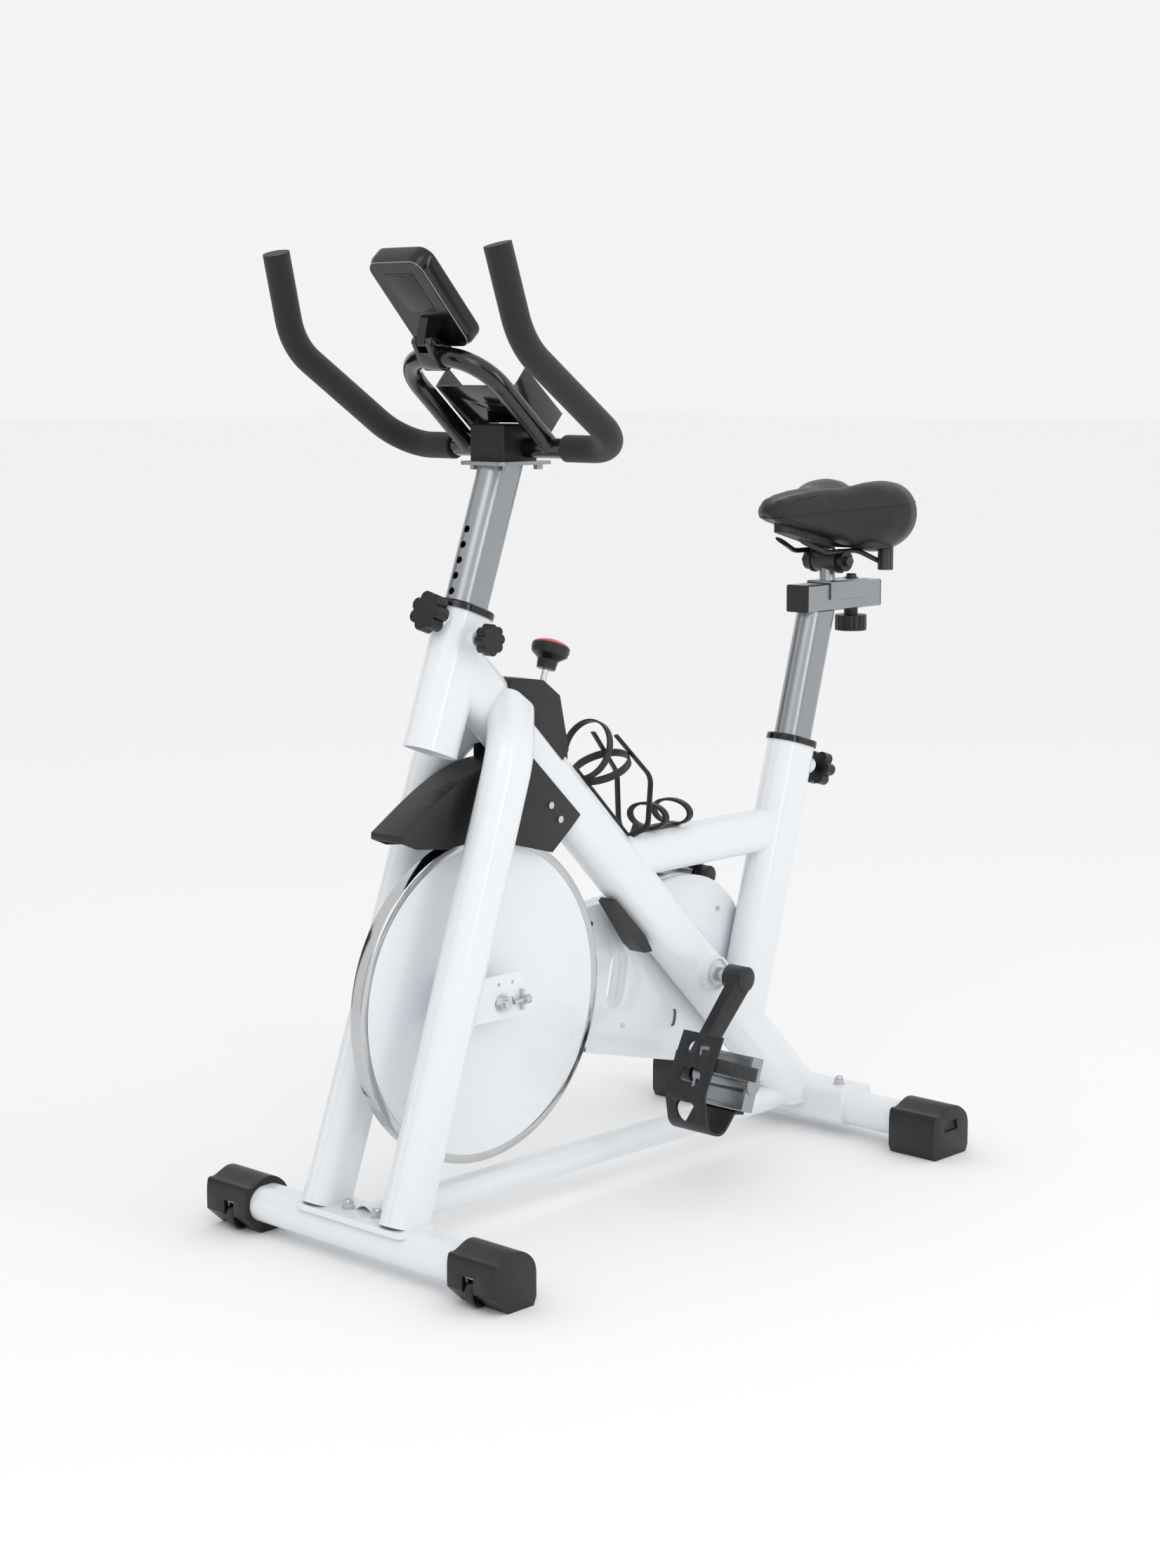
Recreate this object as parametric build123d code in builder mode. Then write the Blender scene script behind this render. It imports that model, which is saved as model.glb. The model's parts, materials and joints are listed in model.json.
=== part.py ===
"""Indoor exercise bike with a belt-driven flywheel.

Front is -Y, the rider's left is +X, up is +Z. The origin is on the floor under
the middle of the bike. All sizes are millimetres.
"""
import os
from math import atan2, cos, degrees, radians, sin

from build123d import *

os.makedirs("parts", exist_ok=True)

# ---- stance and stabilisers
STAB_HALF = 257.0  # half the length of each stabiliser, over its end caps
FRONT_Y = -480.5
REAR_Y = 374.0
CAP_LEN = 77.0
CAP_SHOULDER = 38.0  # height at which a cap's sides turn into its arched top
FRONT_CAP_HALF = 35.0
REAR_CAP_HALF = 40.0
CAP_TOP = 71.0
STAB_DEPTH = 58.0
STAB_HEIGHT = 46.0
STAB_Z = 38.0
BASE_DIA = 38.0
BASE_Z = 54.0
PLATE_TOP = 64.0
WHEEL_DIA = 36.0
WHEEL_W = 14.0
WHEEL_X = 214.0
WHEEL_Y = -497.5
WHEEL_Z = 19.0

# ---- frame tubes
TUBE_DEPTH = 76.0
TUBE_WIDTH = 50.0
TUBE_WALL = 2.5
POST_DEPTH = 60.0
POST_WIDTH = 38.0
POST_WALL = 2.0
SLEEVE_GAP = 0.3
HEAD_LEAN = 20.0
HEAD_Y = -363.0
HEAD_Z = 614.0
HEAD_LEN = 176.0
SEAT_LEAN = 16.0
SEAT_Y = 225.2
SEAT_Z = 172.8
SEAT_LEN = 397.0
DOWN_SUM = 400.0  # the down tube's axis is the 45 degree line Y + Z = 400
TOP_TUBE_Z = 439.5
TOP_TUBE_DEPTH = 60.0
TOP_TUBE_WIDTH = 40.0
LEG_DEPTH = 66.0
LEG_WIDTH = 46.0
COLLAR_THICK = 9.5
COLLAR_DEPTH = 60.0

# ---- flywheel, belt drive and cranks
FLY_Y = -285.0
FLY_Z = 296.3
FLY_R = 207.5
FLY_X0 = -8.0
FLY_X1 = 13.0
BB_Y = 138.0
BB_Z = 262.0
PULLEY_X = -32.0
PULLEY_W = 10.0
PULLEY_R = 95.0
FLY_PULLEY_R = 30.0
BELT_THICK = 3.0
GUARD_R = 128.0
GUARD_FRONT_R = 60.0
GUARD_WALL = 2.0
GUARD_IN = -23.5
GUARD_OUT = -51.0
CRANK_LEN = 150.0
CRANK_ANGLE = 45.8  # below the horizontal, pointing forward, on the left side
SPINDLE_DIA = 20.0
RUNNING = 0.05  # radial clearance of a shaft in its bearing

# ---- handlebar and console
BAR_Y = -221.0
BAR_Z = 979.0
BAR_DIA = 25.0
FOAM_DIA = 33.0
FOAM_IN = 97.0
ARCH_HALF = 70.0
ARCH_TOP_Y = -345.0
ARCH_TOP_Z = 1088.0
HORN_BEND = (190.0, BAR_Y, BAR_Z)
HORN_ELBOW = (196.0, -400.0, 1102.0)
HORN_TIP = (189.0, -430.0, 1209.0)
CONSOLE_LEAN = 42.2
CONSOLE_Y = -381.0
CONSOLE_Z = 1143.0
CONSOLE_W = 94.0
CONSOLE_L = 136.0
CONSOLE_T = 29.0
HINGE_Y = -366.0
HINGE_Z = 1106.0

# ---- seat
SLIDER = 38.0
SLIDER_Z = 756.0
SLIDER_Y0 = 347.0
SLIDER_Y1 = 510.0
PIN_Y = 412.0
BOLT_Y = 467.0
PIVOT_Z = 806.0
SADDLE_Y0 = 276.0
SADDLE_Y1 = 515.5
SADDLE_Z0 = 836.0
SADDLE_Z1 = 912.0


def along(y, z, lean, x=0.0):
    """Plane whose normal leans back by lean degrees from vertical; its local X is +X."""
    return Plane(origin=(x, y, z), x_dir=(1, 0, 0), z_dir=(0, sin(radians(lean)), cos(radians(lean))))


def up_axis(y, z, lean, distance, offset=0.0):
    """Point (y, z) at distance up a leaning axis and offset behind it, square to it."""
    a = radians(lean)
    return y + distance * sin(a) + offset * cos(a), z + distance * cos(a) - offset * sin(a)


def oval_bar(plane, length, depth, width):
    """Solid bar with the flat-sided oval section of the frame tubes."""
    with BuildPart() as bar:
        with BuildSketch(plane):
            SlotOverall(depth, width, rotation=90)
        extrude(amount=length)
    return bar.part


def side_disc(x, y, z, radius, thick):
    """Solid disc on an axis along X, from x towards +X by thick."""
    with BuildPart() as disc:
        with BuildSketch(Plane.YZ.offset(x)):
            with Locations((y, z)):
                Circle(radius)
        extrude(amount=thick)
    return disc.part


def rod(plane, radius, length):
    """Solid round rod standing on a plane."""
    with BuildPart() as bar:
        with BuildSketch(plane):
            Circle(radius)
        extrude(amount=length)
    return bar.part


def acorn_nut(plane, across=8.0):
    """Domed nut with its washer, standing on a plane."""
    with BuildPart() as nut:
        with BuildSketch(plane):
            Circle(across * 1.05)
        extrude(amount=1.6)
        with BuildSketch(plane.offset(1.6)):
            RegularPolygon(across * 0.92, 6)
        extrude(amount=6)
        with BuildSketch(plane.offset(7.6)):
            Circle(across * 0.72)
        extrude(amount=4)
        fillet(nut.faces().sort_by(Axis(plane.origin, plane.z_dir))[-1].edges(), 3)
    return nut.part


def lobed_knob(plane, diameter, thick, lobes, bore=0.0):
    """Hand knob with round lobes, its back face on the plane."""
    lobe_r = diameter * 0.17
    with BuildPart() as knob:
        with BuildSketch(plane):
            Circle(diameter / 2 - lobe_r * 0.8)
            with PolarLocations(diameter / 2 - lobe_r, lobes):
                Circle(lobe_r)
        extrude(amount=thick)
        fillet(knob.faces().sort_by(Axis(plane.origin, plane.z_dir))[-1].edges(), thick * 0.14)
        if bore:
            with BuildSketch(plane):
                Circle(bore)
            extrude(amount=thick * 0.6, mode=Mode.SUBTRACT)
    return knob.part


# ---- planes and envelopes that several pieces share
HEAD = along(HEAD_Y, HEAD_Z, HEAD_LEAN)
SEAT = along(SEAT_Y, SEAT_Z, SEAT_LEAN)
DOWN_START = (-323.0, DOWN_SUM + 323.0)
DOWN_LEN = 990.0
DOWN = Plane(origin=(0, *DOWN_START), x_dir=(1, 0, 0), z_dir=(0, 1, -1))
ROD_Y = -166.0
ROD_Z = 682.6
ROD = along(ROD_Y, ROD_Z, HEAD_LEAN)
ROD_DOWN = 176.0  # from the top of the brake housing down to the brake shoe

head_envelope = oval_bar(HEAD, HEAD_LEN, TUBE_DEPTH, TUBE_WIDTH)
down_envelope = oval_bar(DOWN, DOWN_LEN, TUBE_DEPTH, TUBE_WIDTH)
seat_envelope = oval_bar(SEAT, SEAT_LEN, TUBE_DEPTH, TUBE_WIDTH)


# ---- root: welded frame
with BuildPart() as head_tube:
    add(head_envelope)
    pin_y, pin_z = up_axis(HEAD_Y, HEAD_Z, HEAD_LEAN, 161.0, -TUBE_DEPTH / 2 - 9)
    with BuildSketch(along(pin_y, pin_z, HEAD_LEAN + 90)):
        Circle(13)
    extrude(amount=20)
    with BuildSketch(Plane.YZ.offset(TUBE_WIDTH / 2 - 3)):
        with Locations(up_axis(HEAD_Y, HEAD_Z, HEAD_LEAN, 146.0)):
            Circle(10)
    extrude(amount=12)
    with BuildSketch(HEAD):
        SlotOverall(TUBE_DEPTH - 2 * TUBE_WALL, TUBE_WIDTH - 2 * TUBE_WALL, rotation=90)
    extrude(amount=HEAD_LEN, mode=Mode.SUBTRACT)
    with BuildSketch(along(pin_y, pin_z, HEAD_LEAN + 90).offset(-5)):
        Circle(6)
    extrude(amount=40, mode=Mode.SUBTRACT)
    with BuildSketch(Plane.YZ.offset(10)):
        with Locations(up_axis(HEAD_Y, HEAD_Z, HEAD_LEAN, 146.0)):
            Circle(5)
    extrude(amount=40, mode=Mode.SUBTRACT)

with BuildPart() as seat_tube:
    add(seat_envelope)
    knob_y, knob_z = up_axis(SEAT_Y, SEAT_Z, SEAT_LEAN, 374.0, TUBE_DEPTH / 2 + 12)
    with BuildSketch(along(knob_y, knob_z, SEAT_LEAN - 90)):
        Circle(11)
    extrude(amount=24)
    with BuildSketch(SEAT):
        SlotOverall(TUBE_DEPTH - 2 * TUBE_WALL, TUBE_WIDTH - 2 * TUBE_WALL, rotation=90)
    extrude(amount=SEAT_LEN, mode=Mode.SUBTRACT)
    with BuildSketch(along(knob_y, knob_z, SEAT_LEAN - 90).offset(-5)):
        Circle(5)
    extrude(amount=50, mode=Mode.SUBTRACT)
    add(down_envelope, mode=Mode.SUBTRACT)

with BuildPart() as rear_envelope:
    with BuildSketch(Plane.YZ):
        with Locations((REAR_Y, STAB_Z)):
            SlotOverall(STAB_DEPTH, STAB_HEIGHT)
    extrude(amount=STAB_HALF, both=True)
    with BuildSketch(Plane.YZ):
        with Locations((REAR_Y, 42)):
            RectangleRounded(68, 52, 12)
    extrude(amount=92, both=True)

with BuildPart() as front_envelope:
    with BuildSketch(Plane.YZ):
        with Locations((FRONT_Y, STAB_Z)):
            SlotOverall(STAB_DEPTH, STAB_HEIGHT)
    extrude(amount=STAB_HALF, both=True)
    with BuildSketch(Plane.YZ):
        with Locations((FRONT_Y, PLATE_TOP - 4)):
            Rectangle(60, 8)
    extrude(amount=96, both=True)

base_envelope = rod(Plane(origin=(0, FRONT_Y, BASE_Z), z_dir=(0, 1, 0)), BASE_DIA / 2, REAR_Y - FRONT_Y)
bb_envelope = side_disc(-TUBE_WIDTH / 2, BB_Y, BB_Z, 24, TUBE_WIDTH + 10)
rod_envelope = rod(ROD, 7, -ROD_DOWN)

with BuildPart() as down_tube:
    with BuildSketch(DOWN):
        SlotOverall(TUBE_DEPTH, TUBE_WIDTH, rotation=90)
        SlotOverall(TUBE_DEPTH - 2 * TUBE_WALL, TUBE_WIDTH - 2 * TUBE_WALL, rotation=90, mode=Mode.SUBTRACT)
    extrude(amount=DOWN_LEN)
    add(head_envelope, mode=Mode.SUBTRACT)
    add(rear_envelope.part, mode=Mode.SUBTRACT)
    add(base_envelope, mode=Mode.SUBTRACT)
    add(bb_envelope, mode=Mode.SUBTRACT)
    add(rod_envelope, mode=Mode.SUBTRACT)
    with BuildSketch(Plane.XY.offset(40)):
        with Locations((0, REAR_Y)):
            Rectangle(200, 240)
    extrude(amount=-200, mode=Mode.SUBTRACT)

with BuildPart() as top_tube:
    with BuildSketch(Plane(origin=(0, DOWN_SUM - TOP_TUBE_Z, TOP_TUBE_Z), x_dir=(1, 0, 0), z_dir=(0, 1, 0))):
        SlotOverall(TOP_TUBE_DEPTH, TOP_TUBE_WIDTH, rotation=90)
        SlotOverall(TOP_TUBE_DEPTH - 4, TOP_TUBE_WIDTH - 4, rotation=90, mode=Mode.SUBTRACT)
    extrude(amount=340)
    add(down_envelope, mode=Mode.SUBTRACT)
    add(seat_envelope, mode=Mode.SUBTRACT)

with BuildPart() as base_tube:
    with BuildSketch(Plane(origin=(0, FRONT_Y, BASE_Z), z_dir=(0, 1, 0))):
        Circle(BASE_DIA / 2)
        Circle(BASE_DIA / 2 - 2, mode=Mode.SUBTRACT)
    extrude(amount=REAR_Y - FRONT_Y)
    add(front_envelope.part, mode=Mode.SUBTRACT)
    add(rear_envelope.part, mode=Mode.SUBTRACT)


def leg_solid(side, wall=0.0):
    """One oval fork leg: straight up from the foot plate, then bent in to the down tube."""
    foot = (side * 69.5, -480.5, PLATE_TOP - 6)
    knee = (side * 62, -287.0, 610.0)
    top = (side * 18, -241.0, 662.0)
    with BuildPart() as leg:
        with BuildLine() as path:
            FilletPolyline(foot, knee, top, radius=[85])
        with BuildSketch(Plane(origin=foot, x_dir=(1, 0, 0), z_dir=path.line % 0)):
            SlotOverall(LEG_DEPTH - 2 * wall, LEG_WIDTH - 2 * wall, rotation=90)
        sweep(path=path.line)
    return leg.part


leg_envelopes = [leg_solid(1), leg_solid(-1)]

with BuildPart() as fork_legs:
    for leg in leg_envelopes:
        add(leg)
    for side in (1, -1):
        add(leg_solid(side, TUBE_WALL), mode=Mode.SUBTRACT)
    with BuildSketch(Plane.XY.offset(PLATE_TOP)):
        with Locations((0, FRONT_Y)):
            Rectangle(300, 200)
    extrude(amount=-60, mode=Mode.SUBTRACT)
    add(down_envelope, mode=Mode.SUBTRACT)
    add(head_envelope, mode=Mode.SUBTRACT)

with BuildPart() as axle_plates:
    for x0 in (40.0, -44.0):
        with BuildSketch(Plane.YZ.offset(x0)):
            with Locations((FLY_Y - 38, FLY_Z + 8)):
                RectangleRounded(148, 56, 8)
            with Locations((FLY_Y + 4, FLY_Z)):
                SlotOverall(34, 12.6, mode=Mode.SUBTRACT)
            with Locations((FLY_Y + 18, FLY_Z + 24), (FLY_Y - 6, FLY_Z + 24)):
                Circle(2.6, mode=Mode.SUBTRACT)
        extrude(amount=4)
    for leg in leg_envelopes:
        add(leg, mode=Mode.SUBTRACT)

# ---- root: stabilisers, end caps and their fasteners
with BuildPart() as front_stabilizer:
    with BuildSketch(Plane.YZ):
        with Locations((FRONT_Y, STAB_Z)):
            SlotOverall(STAB_DEPTH, STAB_HEIGHT)
            SlotOverall(STAB_DEPTH - 4, STAB_HEIGHT - 4, mode=Mode.SUBTRACT)
    extrude(amount=STAB_HALF - 6, both=True)
    with BuildSketch(Plane.XY.offset(PLATE_TOP - 8)):
        with Locations((0, FRONT_Y)):
            RectangleRounded(192, 60, 12)
    extrude(amount=8)
    with BuildSketch(Plane.YZ):
        with Locations((FRONT_Y, STAB_Z)):
            SlotOverall(STAB_DEPTH - 4, STAB_HEIGHT - 4)
    extrude(amount=STAB_HALF, both=True, mode=Mode.SUBTRACT)

wheel_pin_envelopes = []
for side in (1, -1):
    wheel_pin_envelopes.append(rod(Plane(origin=(side * WHEEL_X - WHEEL_W / 2 - 6, WHEEL_Y, WHEEL_Z),
                                         z_dir=(1, 0, 0)), 3, WHEEL_W + 12))
    pocket = rod(Plane(origin=(side * WHEEL_X - WHEEL_W / 2 - 2, WHEEL_Y, WHEEL_Z), z_dir=(1, 0, 0)),
                 WHEEL_DIA / 2 + 3, WHEEL_W + 4)
    with front_stabilizer:
        add(pocket, mode=Mode.SUBTRACT)
        add(wheel_pin_envelopes[-1], mode=Mode.SUBTRACT)

with BuildPart() as rear_stabilizer:
    with BuildSketch(Plane.YZ):
        with Locations((REAR_Y, STAB_Z)):
            SlotOverall(STAB_DEPTH, STAB_HEIGHT)
    extrude(amount=STAB_HALF - 6, both=True)
    with BuildSketch(Plane.YZ):
        with Locations((REAR_Y, 42)):
            RectangleRounded(68, 52, 12)
    extrude(amount=92, both=True)
    with BuildSketch(Plane.YZ):
        with Locations((REAR_Y, STAB_Z)):
            SlotOverall(STAB_DEPTH - 4, STAB_HEIGHT - 4)
    extrude(amount=STAB_HALF, both=True, mode=Mode.SUBTRACT)


def end_cap(side, y, half, wheel_notch):
    """Moulded foot over the end of a stabiliser tube, flat on the floor, arched on top."""
    inner = STAB_HALF - CAP_LEN
    undercut = 24 if wheel_notch else 5
    with BuildSketch(Plane.YZ.offset(inner)) as outline:
        with BuildLine():
            Polyline((y - half + undercut, 0), (y + half - 5, 0), (y + half, 10), (y + half, CAP_SHOULDER))
            Spline((y + half, CAP_SHOULDER), (y + half * 0.7, CAP_TOP - 9), (y, CAP_TOP),
                   (y - half * 0.7, CAP_TOP - 9), (y - half, CAP_SHOULDER), tangents=[(0, 1), (0, -1)])
            Polyline((y - half, CAP_SHOULDER), (y - half, 22 if wheel_notch else 10),
                     (y - half + undercut, 0))
        make_face()
    with BuildPart() as cap:
        extrude(outline.sketch, amount=CAP_LEN)
        with BuildSketch(Plane.YZ.offset(inner)):
            with Locations((y, STAB_Z)):
                SlotOverall(STAB_DEPTH + 0.2, STAB_HEIGHT + 0.2)
        extrude(amount=CAP_LEN - 6, mode=Mode.SUBTRACT)
        if wheel_notch:
            with BuildSketch(Plane.YZ.offset(WHEEL_X - WHEEL_W / 2 - 2)):
                with Locations((WHEEL_Y - 12, WHEEL_Z - 8)):
                    Rectangle(WHEEL_DIA + 30, WHEEL_DIA + 22)
            extrude(amount=WHEEL_W + 4, mode=Mode.SUBTRACT)
        else:
            with BuildSketch(Plane.YZ.offset(STAB_HALF)):
                with Locations((y, CAP_SHOULDER + 6)):
                    Trapezoid(30, 14, 78)
            extrude(amount=-4, mode=Mode.SUBTRACT)
    if side < 0:
        return mirror(cap.part, about=Plane.YZ)
    return cap.part


with BuildPart() as front_end_caps:
    for side in (1, -1):
        add(end_cap(side, FRONT_Y, FRONT_CAP_HALF, True))
    for envelope in wheel_pin_envelopes:
        add(envelope, mode=Mode.SUBTRACT)

with BuildPart() as rear_end_caps:
    for side in (1, -1):
        add(end_cap(side, REAR_Y, REAR_CAP_HALF, False))

with BuildPart() as stabilizer_nuts:
    for x in (-26, 26):
        add(acorn_nut(Plane.XY.offset(PLATE_TOP).shift_origin((x, FRONT_Y - 2, PLATE_TOP))))
    for x in (-62, 62):
        add(acorn_nut(Plane.XY.offset(68).shift_origin((x, REAR_Y, 68))))

transport_wheels = {}
for name, side in (("left", 1), ("right", -1)):
    with BuildPart() as wheel:
        with BuildSketch(Plane.YZ.offset(side * WHEEL_X)):
            with Locations((WHEEL_Y, WHEEL_Z)):
                Circle(WHEEL_DIA / 2)
                Circle(3 + RUNNING, mode=Mode.SUBTRACT)
        extrude(amount=WHEEL_W / 2, both=True)
        fillet(wheel.edges().filter_by(GeomType.CIRCLE).sort_by(SortBy.RADIUS)[-2:], 2.5)
    transport_wheels[name] = wheel

with BuildPart() as wheel_pins:
    for envelope in wheel_pin_envelopes:
        add(envelope)

# ---- root: bottom bracket
with BuildPart() as bottom_bracket:
    with BuildSketch(Plane.YZ.offset(GUARD_IN)):
        with Locations((BB_Y, BB_Z)):
            Circle(24)
            Circle(SPINDLE_DIA / 2 + RUNNING, mode=Mode.SUBTRACT)
    extrude(amount=TUBE_WIDTH / 2 + 10 - GUARD_IN)
    with BuildSketch(Plane.YZ.offset(TUBE_WIDTH / 2 + 10)):
        with Locations((BB_Y, BB_Z)):
            Circle(21)
            Circle(14, mode=Mode.SUBTRACT)
    extrude(amount=-5, mode=Mode.SUBTRACT)


def collar(plane, tube_depth_down, screw_holes):
    """Plastic bush: a flange on the tube's mouth and a sleeve inside that guides the post."""
    with BuildPart() as bush:
        with BuildSketch(plane):
            SlotOverall(TUBE_DEPTH + 5, TUBE_WIDTH + 5, rotation=90)
        extrude(amount=COLLAR_THICK)
        fillet(bush.faces().sort_by(Axis(plane.origin, plane.z_dir))[-1].edges(), 3)
        with BuildSketch(plane):
            SlotOverall(TUBE_DEPTH - 2 * TUBE_WALL - 0.2, TUBE_WIDTH - 2 * TUBE_WALL - 0.2, rotation=90)
        extrude(amount=-tube_depth_down)
        with BuildSketch(plane.offset(-tube_depth_down)):
            SlotOverall(POST_DEPTH + 2 * SLEEVE_GAP, POST_WIDTH + 2 * SLEEVE_GAP, rotation=90)
        extrude(amount=tube_depth_down + COLLAR_THICK, mode=Mode.SUBTRACT)
        for hole in screw_holes:
            add(rod(hole, 6.2, 60), mode=Mode.SUBTRACT)
    return bush


HEAD_TOP = HEAD.offset(HEAD_LEN)
SEAT_TOP = SEAT.offset(SEAT_LEN)
PIN_HOLE = along(pin_y, pin_z, HEAD_LEAN + 90).offset(-25)
SIDE_HOLE = Plane(origin=(10, *up_axis(HEAD_Y, HEAD_Z, HEAD_LEAN, 146.0)), z_dir=(1, 0, 0))
SEAT_HOLE = along(knob_y, knob_z, SEAT_LEAN - 90).offset(-25)
head_collar = collar(HEAD_TOP, COLLAR_DEPTH, [PIN_HOLE, SIDE_HOLE])
seat_collar = collar(SEAT_TOP, COLLAR_DEPTH, [SEAT_HOLE])

# ---- root: belt guard, two shells that meet at a seam
GUARD_SEAM = -38.0
GUARD_STEP_Y = -232.0
GUARD_NARROW = -39.0


WINDOW_Y = 0.0
WINDOW_Z = 268.0


def guard_outline(shrink=0.0):
    """Outline of the guard: a lobe round the crank pulley run out to a nose round the axle."""
    with BuildSketch() as outline:
        with Locations((BB_Y, BB_Z)):
            Circle(GUARD_R - shrink)
        with Locations((FLY_Y, FLY_Z)):
            Circle(GUARD_FRONT_R - shrink)
        make_hull()
    return outline.sketch


def guard_slice(x0, x1, shrink, narrow_x, step_y):
    """Solid of the guard between two X planes, thin where it passes the right leg."""
    with BuildPart() as body:
        with BuildSketch(Plane.YZ.offset(x0)):
            add(guard_outline(shrink))
        extrude(amount=x1 - x0)
        with BuildSketch(Plane.YZ.offset(narrow_x)):
            with Locations((step_y - 150, FLY_Z)):
                Rectangle(300, 400)
        extrude(amount=-60, mode=Mode.SUBTRACT)
    return body.part


def window_bar(grow):
    """Bar through the hand opening between the two runs of the belt."""
    with BuildPart() as bar:
        with BuildSketch(Plane.YZ):
            with Locations((WINDOW_Y, WINDOW_Z)):
                SlotOverall(76 + 2 * grow, 34 + 2 * grow, rotation=78)
        extrude(amount=-100)
    return bar.part


guard_hollow = guard_slice(GUARD_IN - GUARD_WALL, GUARD_OUT + GUARD_WALL, GUARD_WALL,
                           GUARD_NARROW + 0.8, GUARD_STEP_Y + GUARD_WALL) - window_bar(3.0)
guard_shafts = side_disc(-100, BB_Y, BB_Z, SPINDLE_DIA / 2 + 6, 100) + side_disc(-100, FLY_Y, FLY_Z, 9, 100)

with BuildPart() as belt_guard_inner:
    add(guard_slice(GUARD_IN, GUARD_SEAM, 0, GUARD_NARROW, GUARD_STEP_Y))
    for cut in (guard_hollow, down_envelope, seat_envelope, window_bar(0), guard_shafts):
        add(cut, mode=Mode.SUBTRACT)
    with BuildSketch(Plane.YZ):
        with Locations((FLY_Y, FLY_Z)):
            Circle(38)
        with Locations((BB_Y - 24, BB_Z - 66)):
            SlotOverall(24, 13, rotation=80)
    extrude(amount=GUARD_IN - GUARD_WALL - 2, mode=Mode.SUBTRACT)

with BuildPart() as belt_guard_outer:
    add(guard_slice(GUARD_SEAM, GUARD_OUT, 0, GUARD_NARROW, GUARD_STEP_Y))
    for cut in (guard_hollow, down_envelope, seat_envelope, window_bar(0), guard_shafts):
        add(cut, mode=Mode.SUBTRACT)

# ---- root: belt, fixed on its route round the two pulleys
with BuildPart() as drive_belt:
    with BuildSketch(Plane.YZ.offset(PULLEY_X - PULLEY_W / 2 + 0.5)):
        for grow, way in ((BELT_THICK, Mode.ADD), (0.3, Mode.SUBTRACT)):
            with BuildSketch(mode=Mode.PRIVATE) as loop:
                with Locations((BB_Y, BB_Z)):
                    Circle(PULLEY_R + grow)
                with Locations((FLY_Y, FLY_Z)):
                    Circle(FLY_PULLEY_R + grow)
                make_hull()
            add(loop.sketch, mode=way)
    extrude(amount=PULLEY_W - 1)

# ---- flywheel body
with BuildPart() as flywheel_rim:
    with BuildSketch(Plane.YZ.offset(FLY_X0)):
        with Locations((FLY_Y, FLY_Z)):
            Circle(FLY_R)
            Circle(FLY_R - 11, mode=Mode.SUBTRACT)
    extrude(amount=FLY_X1 - FLY_X0)
    chamfer(flywheel_rim.edges().filter_by(GeomType.CIRCLE).sort_by(SortBy.RADIUS)[-2:], 1.5)

with BuildPart() as flywheel_disc:
    with BuildSketch(Plane.YZ.offset(FLY_X0 + 1)):
        with Locations((FLY_Y, FLY_Z)):
            Circle(FLY_R - 11)
            Circle(11, mode=Mode.SUBTRACT)
    extrude(amount=FLY_X1 - FLY_X0 - 2)
    for x0, depth in ((FLY_X0 + 1, 3), (FLY_X1 - 1, -3)):
        with BuildSketch(Plane.YZ.offset(x0)):
            with Locations((FLY_Y, FLY_Z)):
                Circle(24)
        extrude(amount=depth, mode=Mode.SUBTRACT)
    with BuildSketch(Plane.YZ.offset(FLY_X1 - 4)):
        with Locations((FLY_Y, FLY_Z)):
            Circle(17)
            Circle(11, mode=Mode.SUBTRACT)
    extrude(amount=12)

with BuildPart() as flywheel_screws:
    with BuildSketch(Plane.YZ.offset(FLY_X1 - 1)):
        with Locations((FLY_Y, FLY_Z)):
            with PolarLocations(FLY_R - 32, 3, start_angle=-24):
                Circle(4)
    extrude(amount=1.6)

with BuildPart() as flywheel_pulley:
    with BuildSketch(Plane.YZ.offset(FLY_X0 + 4)):
        with Locations((FLY_Y, FLY_Z)):
            Circle(20)
            Circle(6 + RUNNING, mode=Mode.SUBTRACT)
    extrude(amount=PULLEY_X + PULLEY_W / 2 - FLY_X0 - 4)
    with BuildSketch(Plane.YZ.offset(PULLEY_X + PULLEY_W / 2)):
        with Locations((FLY_Y, FLY_Z)):
            Circle(FLY_PULLEY_R)
            Circle(6 + RUNNING, mode=Mode.SUBTRACT)
    extrude(amount=-PULLEY_W)

with BuildPart() as flywheel_bearing:
    with BuildSketch(Plane.YZ.offset(FLY_X0 + 4)):
        with Locations((FLY_Y, FLY_Z)):
            Circle(11)
            Circle(6 + RUNNING, mode=Mode.SUBTRACT)
    extrude(amount=FLY_X1 - FLY_X0 + 4)

# ---- root: flywheel axle with its nuts and belt tensioners
with BuildPart() as flywheel_axle:
    with BuildSketch(Plane.YZ.offset(-54)):
        with Locations((FLY_Y, FLY_Z)):
            Circle(6)
    extrude(amount=110)

with BuildPart() as axle_nuts:
    for x0, step in ((44.0, 1), (-44.0, -1)):
        with BuildSketch(Plane.YZ.offset(x0)):
            with Locations((FLY_Y, FLY_Z)):
                Circle(12)
                Circle(6, mode=Mode.SUBTRACT)
        extrude(amount=2 * step)
        with BuildSketch(Plane.YZ.offset(x0 + 2 * step)):
            with Locations((FLY_Y, FLY_Z)):
                RegularPolygon(9.5, 6)
                Circle(6, mode=Mode.SUBTRACT)
        extrude(amount=7 * step)

with BuildPart() as belt_tensioners:
    for x in (50.0, -50.0):
        with BuildSketch(Plane(origin=(x, FLY_Y + 14, FLY_Z), z_dir=(0, 1, 0))):
            Circle(3)
        extrude(amount=26)
        with BuildSketch(Plane(origin=(x, FLY_Y + 32, FLY_Z), z_dir=(0, 1, 0))):
            Circle(6)
        extrude(amount=9)
        with BuildSketch(Plane.YZ.offset(x)):
            with Locations((FLY_Y + 33, FLY_Z)):
                Rectangle(4, 26)
        extrude(amount=6 if x < 0 else -6)

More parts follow.
